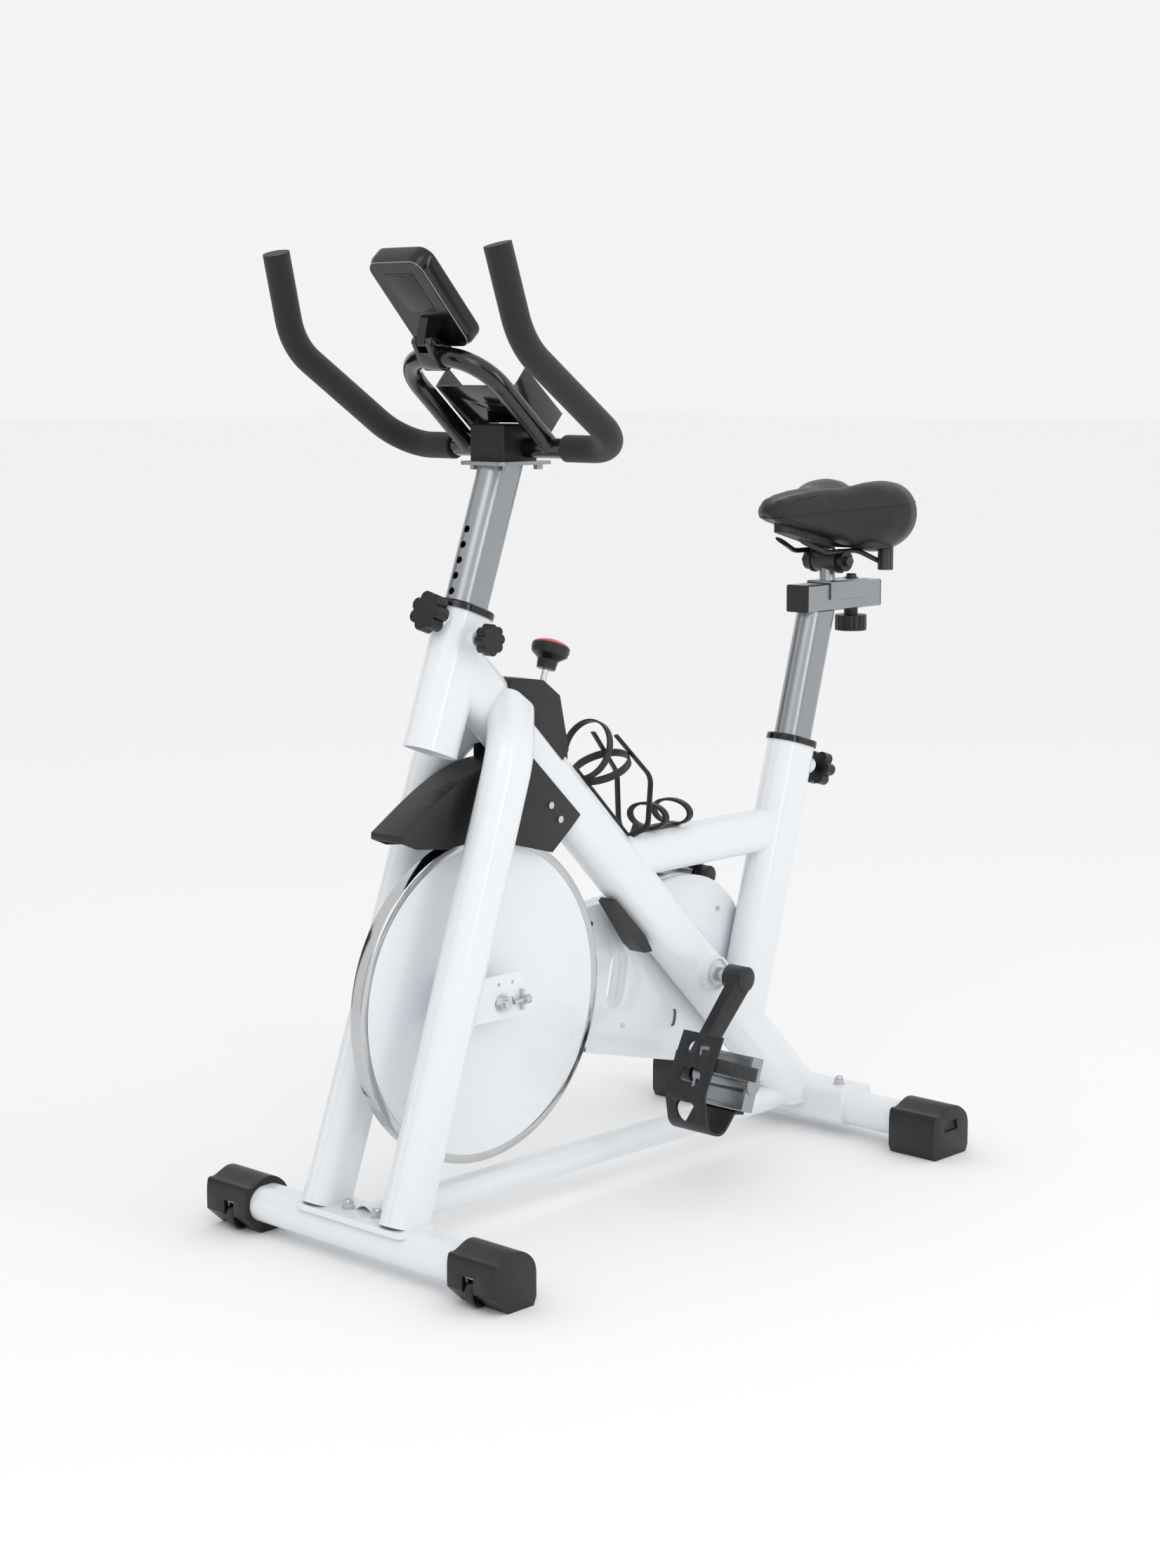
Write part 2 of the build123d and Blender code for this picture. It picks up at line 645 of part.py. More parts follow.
# ---- crank body
with BuildPart() as crank_spindle:
    with BuildSketch(Plane.YZ.offset(-64)):
        with Locations((BB_Y, BB_Z)):
            Circle(SPINDLE_DIA / 2)
    extrude(amount=128)

with BuildPart() as crank_pulley:
    with BuildSketch(Plane.YZ.offset(PULLEY_X - PULLEY_W / 2)):
        with Locations((BB_Y, BB_Z)):
            Circle(PULLEY_R)
            with PolarLocations(58, 5):
                Circle(20, mode=Mode.SUBTRACT)
            Circle(SPINDLE_DIA / 2, mode=Mode.SUBTRACT)
    extrude(amount=PULLEY_W)

PEDAL_X0 = 92.0
PEDAL_X1 = 186.0


def crank_end(side):
    """Position of a pedal axis at rest: left crank forward and down, right crank opposite."""
    a = radians(CRANK_ANGLE)
    return BB_Y - side * CRANK_LEN * cos(a), BB_Z - side * CRANK_LEN * sin(a)


def crank_arm(side):
    """Forged crank: round head on the spindle, tapered arm and a pedal eye."""
    py, pz = crank_end(side)
    with BuildPart() as arm:
        with BuildSketch(Plane.YZ.offset(side * 56)):
            with Locations((BB_Y, BB_Z)):
                Circle(17)
        extrude(amount=side * 30)
        with BuildSketch(Plane.YZ.offset(side * 70)):
            with BuildSketch(mode=Mode.PRIVATE) as outline:
                with Locations((BB_Y, BB_Z)):
                    Circle(16)
                with Locations((py, pz)):
                    Circle(12)
                make_hull()
            add(outline.sketch)
        extrude(amount=side * 15)
        with BuildSketch(Plane.YZ.offset(side * 70)):
            with Locations((py, pz)):
                Circle(14)
        extrude(amount=side * 17)
        with BuildSketch(Plane.YZ.offset(side * 50)):
            with Locations((BB_Y, BB_Z)):
                Circle(SPINDLE_DIA / 2)
        extrude(amount=side * 14, mode=Mode.SUBTRACT)
        with BuildSketch(Plane.YZ.offset(side * 87)):
            with Locations((py, pz)):
                Circle(5.2)
        extrude(amount=side * (PEDAL_X1 - 8 - 87))
    return arm


left_crank = crank_arm(1)
right_crank = crank_arm(-1)


PEDAL_TILT = 20.0  # the pedals hang toe down, tipped this far forward of vertical
PEDAL_HALF = 36.0
CLIP_THICK = 4.0
CLIP_HALF = 33.0
PEDAL_MID = (PEDAL_X0 + PEDAL_X1) / 2


def pedal_plane(side, x):
    """Plane across the pedal axis at |X| = x; local X runs to the toe, local -Y over the foot."""
    a = radians(PEDAL_TILT)
    py, pz = crank_end(side)
    return Plane(origin=(x, py, pz), x_dir=(0, -sin(a), -cos(a)), z_dir=(1, 0, 0))


def sided(solid, side):
    """Pedal pieces are drawn on the left and mirrored for the right."""
    return solid if side > 0 else mirror(solid, about=Plane.YZ)


def pedal_cage(side):
    """Cast pedal: a barrel on the axle between two cage plates, joined front and back."""
    inner = pedal_plane(side, PEDAL_X0)
    with BuildPart() as cage:
        with BuildSketch(inner):
            Circle(13)
        extrude(amount=PEDAL_X1 - PEDAL_X0)
        for step in (2, PEDAL_X1 - PEDAL_X0 - 6):
            with BuildSketch(inner.offset(step)):
                RectangleRounded(2 * PEDAL_HALF, 22, 5)
            extrude(amount=4)
        with BuildSketch(inner.offset(2)):
            with Locations((PEDAL_HALF - 3, 0), (3 - PEDAL_HALF, 0)):
                RectangleRounded(5, 22, 1)
        extrude(amount=PEDAL_X1 - PEDAL_X0 - 4)
        with BuildSketch(inner.offset(2)):
            Rectangle(2 * PEDAL_HALF - 8, 6)
        extrude(amount=PEDAL_X1 - PEDAL_X0 - 4)
        with BuildSketch(inner.offset(-1)):
            Circle(5.2 + RUNNING)
        extrude(amount=PEDAL_X1 - PEDAL_X0 - 6, mode=Mode.SUBTRACT)
    return sided(cage.part, side)


def toe_clip(side):
    """Moulded toe clip: up from the toe plate, over the toe and back along the foot."""
    with BuildPart() as clip:
        with BuildSketch(pedal_plane(side, PEDAL_MID - CLIP_HALF)):
            with BuildLine():
                line = FilletPolyline((PEDAL_HALF + 2, 9), (PEDAL_HALF + 4, -8), (72, -22), (74, -52),
                                      (30, -76),
                                      (-48, -66), radius=[4, 18, 22, 30])
                offset(line, CLIP_THICK / 2, side=Side.BOTH)
            make_face()
        extrude(amount=2 * CLIP_HALF)
        front = pedal_plane(side, PEDAL_MID)
        over = Plane(origin=front.origin, x_dir=(1, 0, 0), z_dir=-front.y_dir)
        with BuildSketch(over.offset(40)):
            with Locations((0, -8), (0, -52)):
                SlotOverall(34, 26)
            with Locations((0, 30)):
                SlotOverall(36, 16)
        extrude(amount=60, mode=Mode.SUBTRACT)
    return sided(clip.part, side)


def toe_strap(side):
    """Strap from the clip round both ends of the pedal and under its barrel."""
    front = pedal_plane(side, PEDAL_MID)
    across = Plane(origin=front.origin, x_dir=(1, 0, 0), z_dir=front.x_dir)
    half = (PEDAL_X1 - PEDAL_X0) / 2 + 1.5
    with BuildPart() as strap:
        with BuildSketch(across.offset(-22)):
            with Locations((0, 27)):
                RectangleRounded(2 * half + 5, 83, 26)
                RectangleRounded(2 * half, 78, 24, mode=Mode.SUBTRACT)
        extrude(amount=18)
        with BuildSketch(pedal_plane(side, PEDAL_X0 - 8)):
            Circle(8)
        extrude(amount=16, mode=Mode.SUBTRACT)
    return sided(strap.part, side)


pedals = {}
for name, side in (("left", 1), ("right", -1)):
    pedals[name + "_pedal"] = pedal_cage(side)
    pedals[name + "_toe_clip"] = toe_clip(side)
    pedals[name + "_toe_strap"] = toe_strap(side)

# ---- root: brake housing, panels and fender
with BuildPart() as brake_housing:
    with BuildSketch(Plane.YZ.offset(-25)):
        with BuildLine():
            Polyline((-252, 682), (-243, 697), (-190, 690), (-160, 668), (-144, 597), (-155, 585), (-252,
                                                                                                    682))
        make_face()
    extrude(amount=50)
    fillet(brake_housing.edges().filter_by(Axis.X).sort_by(Axis.Z)[-2:], 6)
    add(down_envelope, mode=Mode.SUBTRACT)
    add(rod_envelope, mode=Mode.SUBTRACT)
    add(rod(ROD, 7, 30), mode=Mode.SUBTRACT)

with BuildPart() as brake_panels:
    for x0 in (25.2, -27.7):
        with BuildSketch(Plane.YZ.offset(x0)):
            with BuildLine():
                Polyline((-261.5, 642), (-125, 512), (-146, 494), (-177, 470), (-240, 487), (-261.5,
                                                                                             494), (-261.5, 642))
            make_face()
        extrude(amount=2.5)
    for leg in leg_envelopes:
        add(leg, mode=Mode.SUBTRACT)

with BuildPart() as fender:
    with BuildSketch(Plane.YZ.offset(-28)):
        with BuildLine():
            Spline((-436, 522), (-398, 546), (-335, 580), (-262, 597))
            Polyline((-262, 597), (-262, 500), (-300, 502), (-362, 498), (-412, 504), (-436, 514), (-436,
                                                                                                    522))
        make_face()
    extrude(amount=56)
    with BuildSketch(Plane.YZ.offset(-25.5)):
        with BuildLine():
            Spline((-433.5, 519.5), (-397, 543), (-334.5, 576.5), (-258, 593.5))
            Polyline((-258, 593.5), (-258, 480), (-433.5, 480), (-433.5, 519.5))
        make_face()
    extrude(amount=51, mode=Mode.SUBTRACT)

with BuildPart() as brake_shoe:
    with BuildSketch(ROD.offset(-192)):
        with Locations((2.5, 0)):
            Rectangle(17, 46)
    extrude(amount=20)
    add(side_disc(-20, FLY_Y, FLY_Z, FLY_R + 9.5, 50), mode=Mode.SUBTRACT)
    with BuildSketch(ROD.offset(-172)):
        Circle(4)
    extrude(amount=172 + 32)

with BuildPart() as resistance_knob:
    with BuildSketch(Plane(origin=ROD.origin, x_dir=(1, 0, 0), z_dir=(0, -cos(radians(HEAD_LEAN)),
                                                                      sin(radians(HEAD_LEAN))))):
        with BuildLine():
            Polyline((4 + RUNNING, 18), (12, 18), (13.5, 30), (23, 37), (24.5, 42), (24.5, 48))
            Spline((24.5, 48), (20, 52.5), (15, 54))
            Polyline((15, 54), (15, 50), (0, 50), (0, 32 + RUNNING), (4 + RUNNING, 32 + RUNNING),
                     (4 + RUNNING, 18))
        make_face()
    revolve(axis=Axis(ROD.origin, ROD.z_dir))

with BuildPart() as knob_cap:
    with BuildSketch(Plane(origin=ROD.origin, x_dir=(1, 0, 0), z_dir=(0, -cos(radians(HEAD_LEAN)),
                                                                      sin(radians(HEAD_LEAN))))):
        with BuildLine():
            Polyline((0, 50), (14.8, 50), (14.8, 54.3))
            Spline((14.8, 54.3), (8, 56.2), (0, 56.8))
            Line((0, 56.8), (0, 50))
        make_face()
    revolve(axis=Axis(ROD.origin, ROD.z_dir))

# ---- root: bottle cages
CAGE_R = 37.0
TALL_U = 262.0
CAGE_SPINE = 150.0


def cage_point(foot, x, rise, run):
    """Point on the tall cage: out from the tube by rise, along it by run."""
    return foot.from_local_coords(Vector(x, rise, run))


def cage_arm(foot, side):
    """One arm of the tall cage, from the outside of its ring down and round to the foot of its spine."""
    base = TUBE_DEPTH / 2
    with BuildPart() as arm:
        with BuildLine() as path:
            FilletPolyline(cage_point(foot, side * 20, base + 72, 14), cage_point(foot, side * 30,
                                                                                  base + 70, 96),
                           cage_point(foot, side * 26, base + 22, 142), cage_point(foot, side * 4,
                                                                                   base + 3, 142),
                           radius=[26, 16])
        with BuildSketch(Plane(origin=path.line @ 0, z_dir=path.line % 0)):
            Ellipse(2.2, 4.5)
        sweep(path=path.line)
    return arm.part


with BuildPart() as tall_bottle_cage:
    foot = Plane(origin=(0, *DOWN_START), x_dir=(-1, 0, 0), z_dir=(0, 1, -1)).offset(TALL_U)
    rise = TUBE_DEPTH / 2 + 0.2
    with BuildSketch(foot):
        with Locations((0, rise + 2)):
            RectangleRounded(18, 4, 1.5)
    extrude(amount=CAGE_SPINE)
    for start, tilt in ((24, -22), (18, 24)):
        ring = foot.offset(start).shift_origin(foot.offset(start).from_local_coords(Vector(0, rise, 0)))
        ring = ring.rotated((tilt, 0, 0))
        with BuildSketch(ring):
            with Locations((0, CAGE_R + 3)):
                Ellipse(CAGE_R + 2.5, CAGE_R + 2.5)
                Ellipse(CAGE_R, CAGE_R, mode=Mode.SUBTRACT)
        extrude(amount=5, both=True)
    for side in (1, -1):
        add(cage_arm(foot, side))
    add(down_envelope, mode=Mode.SUBTRACT)
    add(top_tube.part, mode=Mode.SUBTRACT)

with BuildPart() as low_bottle_cage:
    with BuildSketch(Plane(origin=(0, 20, TOP_TUBE_Z + TOP_TUBE_DEPTH / 2 + 0.2), x_dir=(1, 0, 0),
                           z_dir=(0, 0, 1))):
        with Locations((0, 36)):
            Rectangle(16, 72)
    extrude(amount=4)
    for y0 in (30.0, 78.0):
        with BuildSketch(Plane(origin=(0, y0, TOP_TUBE_Z + TOP_TUBE_DEPTH / 2 + 1), x_dir=(1, 0, 0),
                               z_dir=(0, 1, 0))):
            with Locations((0, -18)):
                Ellipse(34, 18)
                Ellipse(30, 14.5, mode=Mode.SUBTRACT)
        extrude(amount=9)

# ---- root: small fittings on the down tube and guard
with BuildPart() as cable_clip:
    with BuildSketch(Plane.YZ.offset(-6)):
        with BuildLine():
            Polyline((-50, 390), (8, 333), (22, 310), (6, 310), (-8, 322), (-56, 386), (-50, 390))
        make_face()
    extrude(amount=26)
    add(down_envelope, mode=Mode.SUBTRACT)

GUARD_SCREWS = [(-52, 352), (-66, 185), (11, 204), (40, 352), (205, 335), (-250, 340), (-260, 245)]
with BuildPart() as frame_screws:
    with BuildSketch(Plane.YZ.offset(GUARD_IN)):
        with Locations(GUARD_SCREWS):
            Circle(3.4)
    extrude(amount=1.5)
    with BuildSketch(Plane.YZ.offset(27.7)):
        with Locations((-181, 531), (-164, 511)):
            Circle(4.5)
    extrude(amount=2.5)
    with BuildSketch(Plane.YZ.offset(-27.7)):
        with Locations((-181, 531), (-164, 511)):
            Circle(4.5)
    extrude(amount=-2.5)
    add(down_envelope, mode=Mode.SUBTRACT)
    add(brake_panels.part, mode=Mode.SUBTRACT)

# ---- knobs on the frame
with BuildPart() as handlebar_pin_knob:
    nose = along(pin_y, pin_z, HEAD_LEAN + 90)
    add(lobed_knob(Plane(origin=nose.origin, x_dir=(1, 0, 0), z_dir=-nose.z_dir).offset(0.5), 50, 19, 7))
    with BuildSketch(nose.offset(-0.5)):
        Circle(6 - 0.4)
    extrude(amount=13)

with BuildPart() as head_side_knob:
    side_y, side_z = up_axis(HEAD_Y, HEAD_Z, HEAD_LEAN, 146.0)
    outside = Plane(origin=(TUBE_WIDTH / 2 + 22, side_y, side_z), x_dir=(0, 1, 0), z_dir=(1, 0, 0))
    add(lobed_knob(outside, 39, 15, 8))
    with BuildSketch(outside):
        Circle(4.6)
    extrude(amount=-25)

with BuildPart() as seat_pin_knob:
    back = Plane(origin=along(knob_y, knob_z, SEAT_LEAN - 90).origin, x_dir=(1, 0, 0),
                 z_dir=(0, cos(radians(SEAT_LEAN)), -sin(radians(SEAT_LEAN))))
    add(lobed_knob(back.offset(13), 50, 17, 6))
    with BuildSketch(back.offset(13)):
        Circle(4.6)
    extrude(amount=-29)

# ---- handlebar body, slides up and down in the head tube
with BuildPart() as handlebar_post:
    with BuildSketch(HEAD.offset(72)):
        SlotOverall(POST_DEPTH, POST_WIDTH, rotation=90)
        SlotOverall(POST_DEPTH - 2 * POST_WALL, POST_WIDTH - 2 * POST_WALL, rotation=90, mode=Mode.SUBTRACT)
    extrude(amount=300)
    with BuildSketch(Plane.XY.offset(BAR_Z - 21)):
        with Locations((0, BAR_Y)):
            Rectangle(300, 300)
    extrude(amount=60, mode=Mode.SUBTRACT)
    for step in range(7):
        hole_y, hole_z = up_axis(HEAD_Y, HEAD_Z, HEAD_LEAN, 156.6 + 19.6 * step, -POST_DEPTH / 2 - 2)
        with BuildSketch(along(hole_y, hole_z, HEAD_LEAN + 90)):
            Circle(4.6)
        extrude(amount=12, mode=Mode.SUBTRACT)

with BuildPart() as post_plate:
    with BuildSketch(Plane.XY.offset(BAR_Z - 21)):
        with Locations((0, BAR_Y - 8)):
            RectangleRounded(74, 92, 8)
    extrude(amount=4.5)

bar_envelope = rod(Plane(origin=(-100, BAR_Y, BAR_Z), z_dir=(1, 0, 0)), BAR_DIA / 2, 200)


def mirrored(point):
    """The same point on the rider's right."""
    return (-point[0], point[1], point[2])


HORN_INSIDE = (FOAM_IN, BAR_Y, BAR_Z)
BEND_RADII = [52, 90]
with BuildPart() as handlebar_tube:
    with BuildLine() as bar_path:
        FilletPolyline(mirrored(HORN_TIP), mirrored(HORN_ELBOW), mirrored(HORN_BEND), HORN_BEND, HORN_ELBOW,
                       HORN_TIP, radius=BEND_RADII[::-1] + BEND_RADII)
    with BuildSketch(Plane(origin=mirrored(HORN_TIP), z_dir=bar_path.line % 0)):
        Circle(BAR_DIA / 2)
        Circle(BAR_DIA / 2 - 1.6, mode=Mode.SUBTRACT)
    sweep(path=bar_path.line)


def grip(side):
    """Foam sleeve over one horn of the bar, from inside its bend to its tip."""
    tip = Vector(*HORN_TIP) - Vector(*HORN_ELBOW)
    end = Vector(*HORN_TIP) + tip.normalized() * 4
    with BuildPart() as foam:
        with BuildLine() as path:
            FilletPolyline(HORN_INSIDE, HORN_BEND, HORN_ELBOW, HORN_TIP, radius=BEND_RADII)
        with BuildSketch(Plane(origin=HORN_INSIDE, z_dir=(1, 0, 0))):
            Circle(FOAM_DIA / 2)
            Circle(BAR_DIA / 2, mode=Mode.SUBTRACT)
        sweep(path=path.line)
        with BuildSketch(Plane(origin=HORN_TIP, z_dir=tip.normalized())):
            Circle(FOAM_DIA / 2)
        extrude(amount=(end - Vector(*HORN_TIP)).length)
    return sided(foam.part, side)


with BuildPart() as foam_grips:
    for side in (1, -1):
        add(grip(side))

with BuildPart() as console_arch:
    with BuildLine() as arch_path:
        FilletPolyline((-ARCH_HALF, BAR_Y, BAR_Z), (-ARCH_HALF, ARCH_TOP_Y, ARCH_TOP_Z),
                       (ARCH_HALF, ARCH_TOP_Y, ARCH_TOP_Z), (ARCH_HALF, BAR_Y, BAR_Z), radius=[54, 54])
    with BuildSketch(Plane(origin=(-ARCH_HALF, BAR_Y, BAR_Z), z_dir=arch_path.line % 0)):
        Circle(BAR_DIA / 2 - 0.5)
        Circle(BAR_DIA / 2 - 2.2, mode=Mode.SUBTRACT)
    sweep(path=arch_path.line)
    add(bar_envelope, mode=Mode.SUBTRACT)

with BuildPart() as stem_cover:
    with BuildSketch(Plane.XY.offset(BAR_Z - 16.5)):
        with Locations((0, BAR_Y - 12)):
            RectangleRounded(58, 60, 3)
    extrude(amount=45)
    fillet(stem_cover.faces().sort_by(Axis.Z)[-1].edges(), 2.5)
    add(bar_envelope, mode=Mode.SUBTRACT)

ARCH_ANGLE = atan2(ARCH_TOP_Z - BAR_Z, BAR_Y - ARCH_TOP_Y)
TRAY = Plane(origin=(0, BAR_Y, BAR_Z), x_dir=(1, 0, 0), z_dir=(0, sin(ARCH_ANGLE), cos(ARCH_ANGLE)))
TRAY_LIFT = 15.0
TRAY_HALF = 68.0
with BuildPart() as device_tray:
    with BuildSketch(TRAY.offset(TRAY_LIFT)):
        with Locations((0, -53)):
            Rectangle(2 * TRAY_HALF, 84)
    extrude(amount=2.5)
    with BuildSketch(TRAY.offset(TRAY_LIFT)):
        for side in (1, -1):
            with Locations((side * (TRAY_HALF - 1.25), -53)):
                Rectangle(2.5, 84)
    extrude(amount=30)
    with BuildSketch(TRAY.offset(TRAY_LIFT)):
        with Locations((0, -12.25)):
            Rectangle(2 * TRAY_HALF, 2.5)
    extrude(amount=14)
    with BuildSketch(TRAY.offset(TRAY_LIFT)):
        with Locations((-24, -64), (24, -64)):
            Circle(3)
    extrude(amount=20, mode=Mode.SUBTRACT)
    with BuildSketch(Plane.XY.offset(BAR_Z - 30)):
        with Locations((0, BAR_Y - 10)):
            Rectangle(59, 66)
    extrude(amount=60, mode=Mode.SUBTRACT)

with BuildPart() as handlebar_bolts:
    for x in (-28, 28):
        for y in (BAR_Y - 34, BAR_Y + 20):
            with BuildSketch(Plane.XY.offset(BAR_Z - 21).shift_origin((x, y, BAR_Z - 21))):
                RegularPolygon(6, 6)
            extrude(amount=-6)

with BuildPart() as console_clamp:
    with BuildSketch(Plane.YZ.offset(-15)):
        with BuildSketch(mode=Mode.PRIVATE) as outline:
            with Locations((ARCH_TOP_Y, ARCH_TOP_Z)):
                Circle(BAR_DIA / 2 + 3.5)
            with Locations((HINGE_Y, HINGE_Z)):
                Circle(6.5)
            make_hull()
        add(outline.sketch)
        with Locations((ARCH_TOP_Y, ARCH_TOP_Z)):
            Circle(BAR_DIA / 2 - 0.5, mode=Mode.SUBTRACT)
    extrude(amount=30)
    with BuildSketch(Plane.YZ.offset(-8)):
        with Locations((HINGE_Y, HINGE_Z + 1)):
            Circle(14)
    extrude(amount=16, mode=Mode.SUBTRACT)
    with BuildSketch(Plane.YZ.offset(-18)):
        with Locations((HINGE_Y, HINGE_Z)):
            Circle(2.5)
    extrude(amount=36)

# ---- console body, tilts on the clamp
CONSOLE = Plane(origin=(0, CONSOLE_Y, CONSOLE_Z), x_dir=(1, 0, 0),
                z_dir=(0, cos(radians(CONSOLE_LEAN)), sin(radians(CONSOLE_LEAN)))).offset(8)
with BuildPart() as console_case:
    with BuildSketch(CONSOLE):
        RectangleRounded(CONSOLE_W - 8, CONSOLE_L - 8, 14)
    with BuildSketch(CONSOLE.offset(9)):
        RectangleRounded(CONSOLE_W, CONSOLE_L, 18)
    loft()
    with BuildSketch(CONSOLE.offset(9)):
        RectangleRounded(CONSOLE_W, CONSOLE_L, 18)
    extrude(amount=CONSOLE_T - 11)
    fillet(console_case.faces().sort_by(Axis(CONSOLE.origin, CONSOLE.z_dir))[-1].edges(), 4)
    with BuildSketch(CONSOLE.offset(CONSOLE_T - 4)):
        with Locations((0, 14)):
            RectangleRounded(74, 62, 6)
        with Locations((0, -42)):
            Circle(9)
    extrude(amount=10, mode=Mode.SUBTRACT)
    with BuildSketch(Plane.YZ.offset(-7)):
        with BuildSketch(mode=Mode.PRIVATE) as outline:
            with Locations((HINGE_Y, HINGE_Z)):
                Circle(6.2)
            with Locations((HINGE_Y + 17, HINGE_Z + 16), (HINGE_Y + 5, HINGE_Z + 26)):
                Circle(5)
            make_hull()
        add(outline.sketch)
        with Locations((HINGE_Y, HINGE_Z)):
            Circle(2.5 + RUNNING, mode=Mode.SUBTRACT)
    extrude(amount=14)

with BuildPart() as console_screen:
    with BuildSketch(CONSOLE.offset(CONSOLE_T - 4)):
        with Locations((0, 14)):
            RectangleRounded(73.6, 61.6, 5.8)
    extrude(amount=1.6)

with BuildPart() as console_button:
    with BuildSketch(CONSOLE.offset(CONSOLE_T - 2.6)):
        with Locations((0, -42)):
            Circle(8.6)
    extrude(amount=3.2)

# ---- seat post body, slides up and down in the seat tube
with BuildPart() as seat_post:
    with BuildSketch(SEAT.offset(240)):
        SlotOverall(POST_DEPTH, POST_WIDTH, rotation=90)
        SlotOverall(POST_DEPTH - 2 * POST_WALL, POST_WIDTH - 2 * POST_WALL, rotation=90, mode=Mode.SUBTRACT)
    extrude(amount=380)
    with BuildSketch(Plane.XY.offset(SLIDER_Z - SLIDER / 2)):
        with Locations((0, PIN_Y)):
            Rectangle(300, 300)
    extrude(amount=80, mode=Mode.SUBTRACT)
    for step in range(6):
        hole_y, hole_z = up_axis(SEAT_Y, SEAT_Z, SEAT_LEAN, 374.0 - 98 + 19.6 * step, POST_DEPTH / 2 + 2)
        with BuildSketch(along(hole_y, hole_z, SEAT_LEAN - 90)):
            Circle(4.6)
        extrude(amount=12, mode=Mode.SUBTRACT)

SLOT_Y0 = BOLT_Y - 46
SLOT_Y1 = BOLT_Y + 36
with BuildPart() as seat_slider:
    with BuildSketch(Plane(origin=(0, SLIDER_Y0, SLIDER_Z), x_dir=(1, 0, 0), z_dir=(0, 1, 0))):
        RectangleRounded(SLIDER, SLIDER, 3)
        RectangleRounded(SLIDER - 4, SLIDER - 4, 1.5, mode=Mode.SUBTRACT)
    extrude(amount=SLIDER_Y1 - SLIDER_Y0)
    with BuildSketch(Plane.XY.offset(SLIDER_Z - SLIDER)):
        with Locations((0, (SLOT_Y0 + SLOT_Y1) / 2)):
            SlotOverall(SLOT_Y1 - SLOT_Y0, 9, rotation=90)
    extrude(amount=2 * SLIDER, mode=Mode.SUBTRACT)

with BuildPart() as slider_end_plugs:
    for y0, step in ((SLIDER_Y0, 1), (SLIDER_Y1, -1)):
        with BuildSketch(Plane(origin=(0, y0, SLIDER_Z), x_dir=(1, 0, 0), z_dir=(0, 1, 0))):
            RectangleRounded(SLIDER - 4, SLIDER - 4, 1.5)
        extrude(amount=step * 8)
        with BuildSketch(Plane(origin=(0, y0, SLIDER_Z), x_dir=(1, 0, 0), z_dir=(0, 1, 0))):
            RectangleRounded(SLIDER, SLIDER, 3)
        extrude(amount=-step * 2)

# ---- saddle carriage body, slides along the seat slider
BRACKET_GAP = 0.3
BRACKET_WALL = 3.0
BRACKET_TOP = SLIDER_Z + SLIDER / 2 + BRACKET_GAP
with BuildPart() as slider_bracket:
    with BuildSketch(Plane(origin=(0, PIN_Y - 18, SLIDER_Z), x_dir=(1, 0, 0), z_dir=(0, 1, 0))):
        half = SLIDER / 2 + BRACKET_GAP
        with Locations((0, -(half + BRACKET_WALL - 4) / 2)):
            Rectangle(2 * (half + BRACKET_WALL), half + BRACKET_WALL + 4)
    extrude(amount=81)
    fillet(slider_bracket.edges().filter_by(Axis.Y), 2.5)
    with BuildSketch(Plane(origin=(0, PIN_Y - 18, SLIDER_Z), x_dir=(1, 0, 0), z_dir=(0, 1, 0))):
        Rectangle(2 * half, 2 * half)
    extrude(amount=81, mode=Mode.SUBTRACT)
    with BuildSketch(Plane.XY.offset(BRACKET_TOP)):
        with Locations((0, BOLT_Y)):
            Circle(4 + RUNNING)
    extrude(amount=10, mode=Mode.SUBTRACT)

with BuildPart() as saddle_pin:
    with BuildSketch(Plane.XY.offset(BRACKET_TOP + BRACKET_WALL)):
        with Locations((0, PIN_Y)):
            Circle(11.1)
            Circle(8.6, mode=Mode.SUBTRACT)
    extrude(amount=PIVOT_Z + 17 - BRACKET_TOP - BRACKET_WALL)

with BuildPart() as slider_bolt:
    bolt_top = BRACKET_TOP + BRACKET_WALL
    with BuildSketch(Plane.XY.offset(bolt_top)):
        with Locations((0, BOLT_Y)):
            Circle(10)
    extrude(amount=1.6)
    with BuildSketch(Plane.XY.offset(bolt_top + 1.6)):
        with Locations((0, BOLT_Y)):
            Circle(7.5)
    extrude(amount=5)
    fillet(slider_bolt.faces().sort_by(Axis.Z)[-1].edges(), 2.5)
    with BuildSketch(Plane.XY.offset(bolt_top)):
        with Locations((0, BOLT_Y)):
            Circle(4)
    extrude(amount=-(bolt_top - 718))

with BuildPart() as slider_knob:
    with BuildSketch(Plane.XY.offset(704)):
        with Locations((0, BOLT_Y)):
            Circle(22.5)
            with PolarLocations(22.8, 18):
                Circle(1.6, mode=Mode.SUBTRACT)
    extrude(amount=22)
    fillet(slider_knob.faces().sort_by(Axis.Z)[0].edges(), 1.0)
    with BuildSketch(Plane.XY.offset(726)):
        with Locations((0, BOLT_Y)):
            Circle(10)
    extrude(amount=SLIDER_Z - SLIDER / 2 - 0.3 - 726)
    with BuildSketch(Plane.XY.offset(716)):
        with Locations((0, BOLT_Y)):
            Circle(4 + RUNNING)
    extrude(amount=40, mode=Mode.SUBTRACT)

with BuildPart() as clamp_core:
    with BuildSketch(Plane.YZ.offset(-20)):
        with Locations((PIN_Y, PIVOT_Z)):
            Circle(15)
    extrude(amount=40)
    with BuildSketch(Plane.XY.offset(PIVOT_Z)):
        with Locations((0, PIN_Y)):
            Circle(11.1)
    extrude(amount=40, both=True, mode=Mode.SUBTRACT)

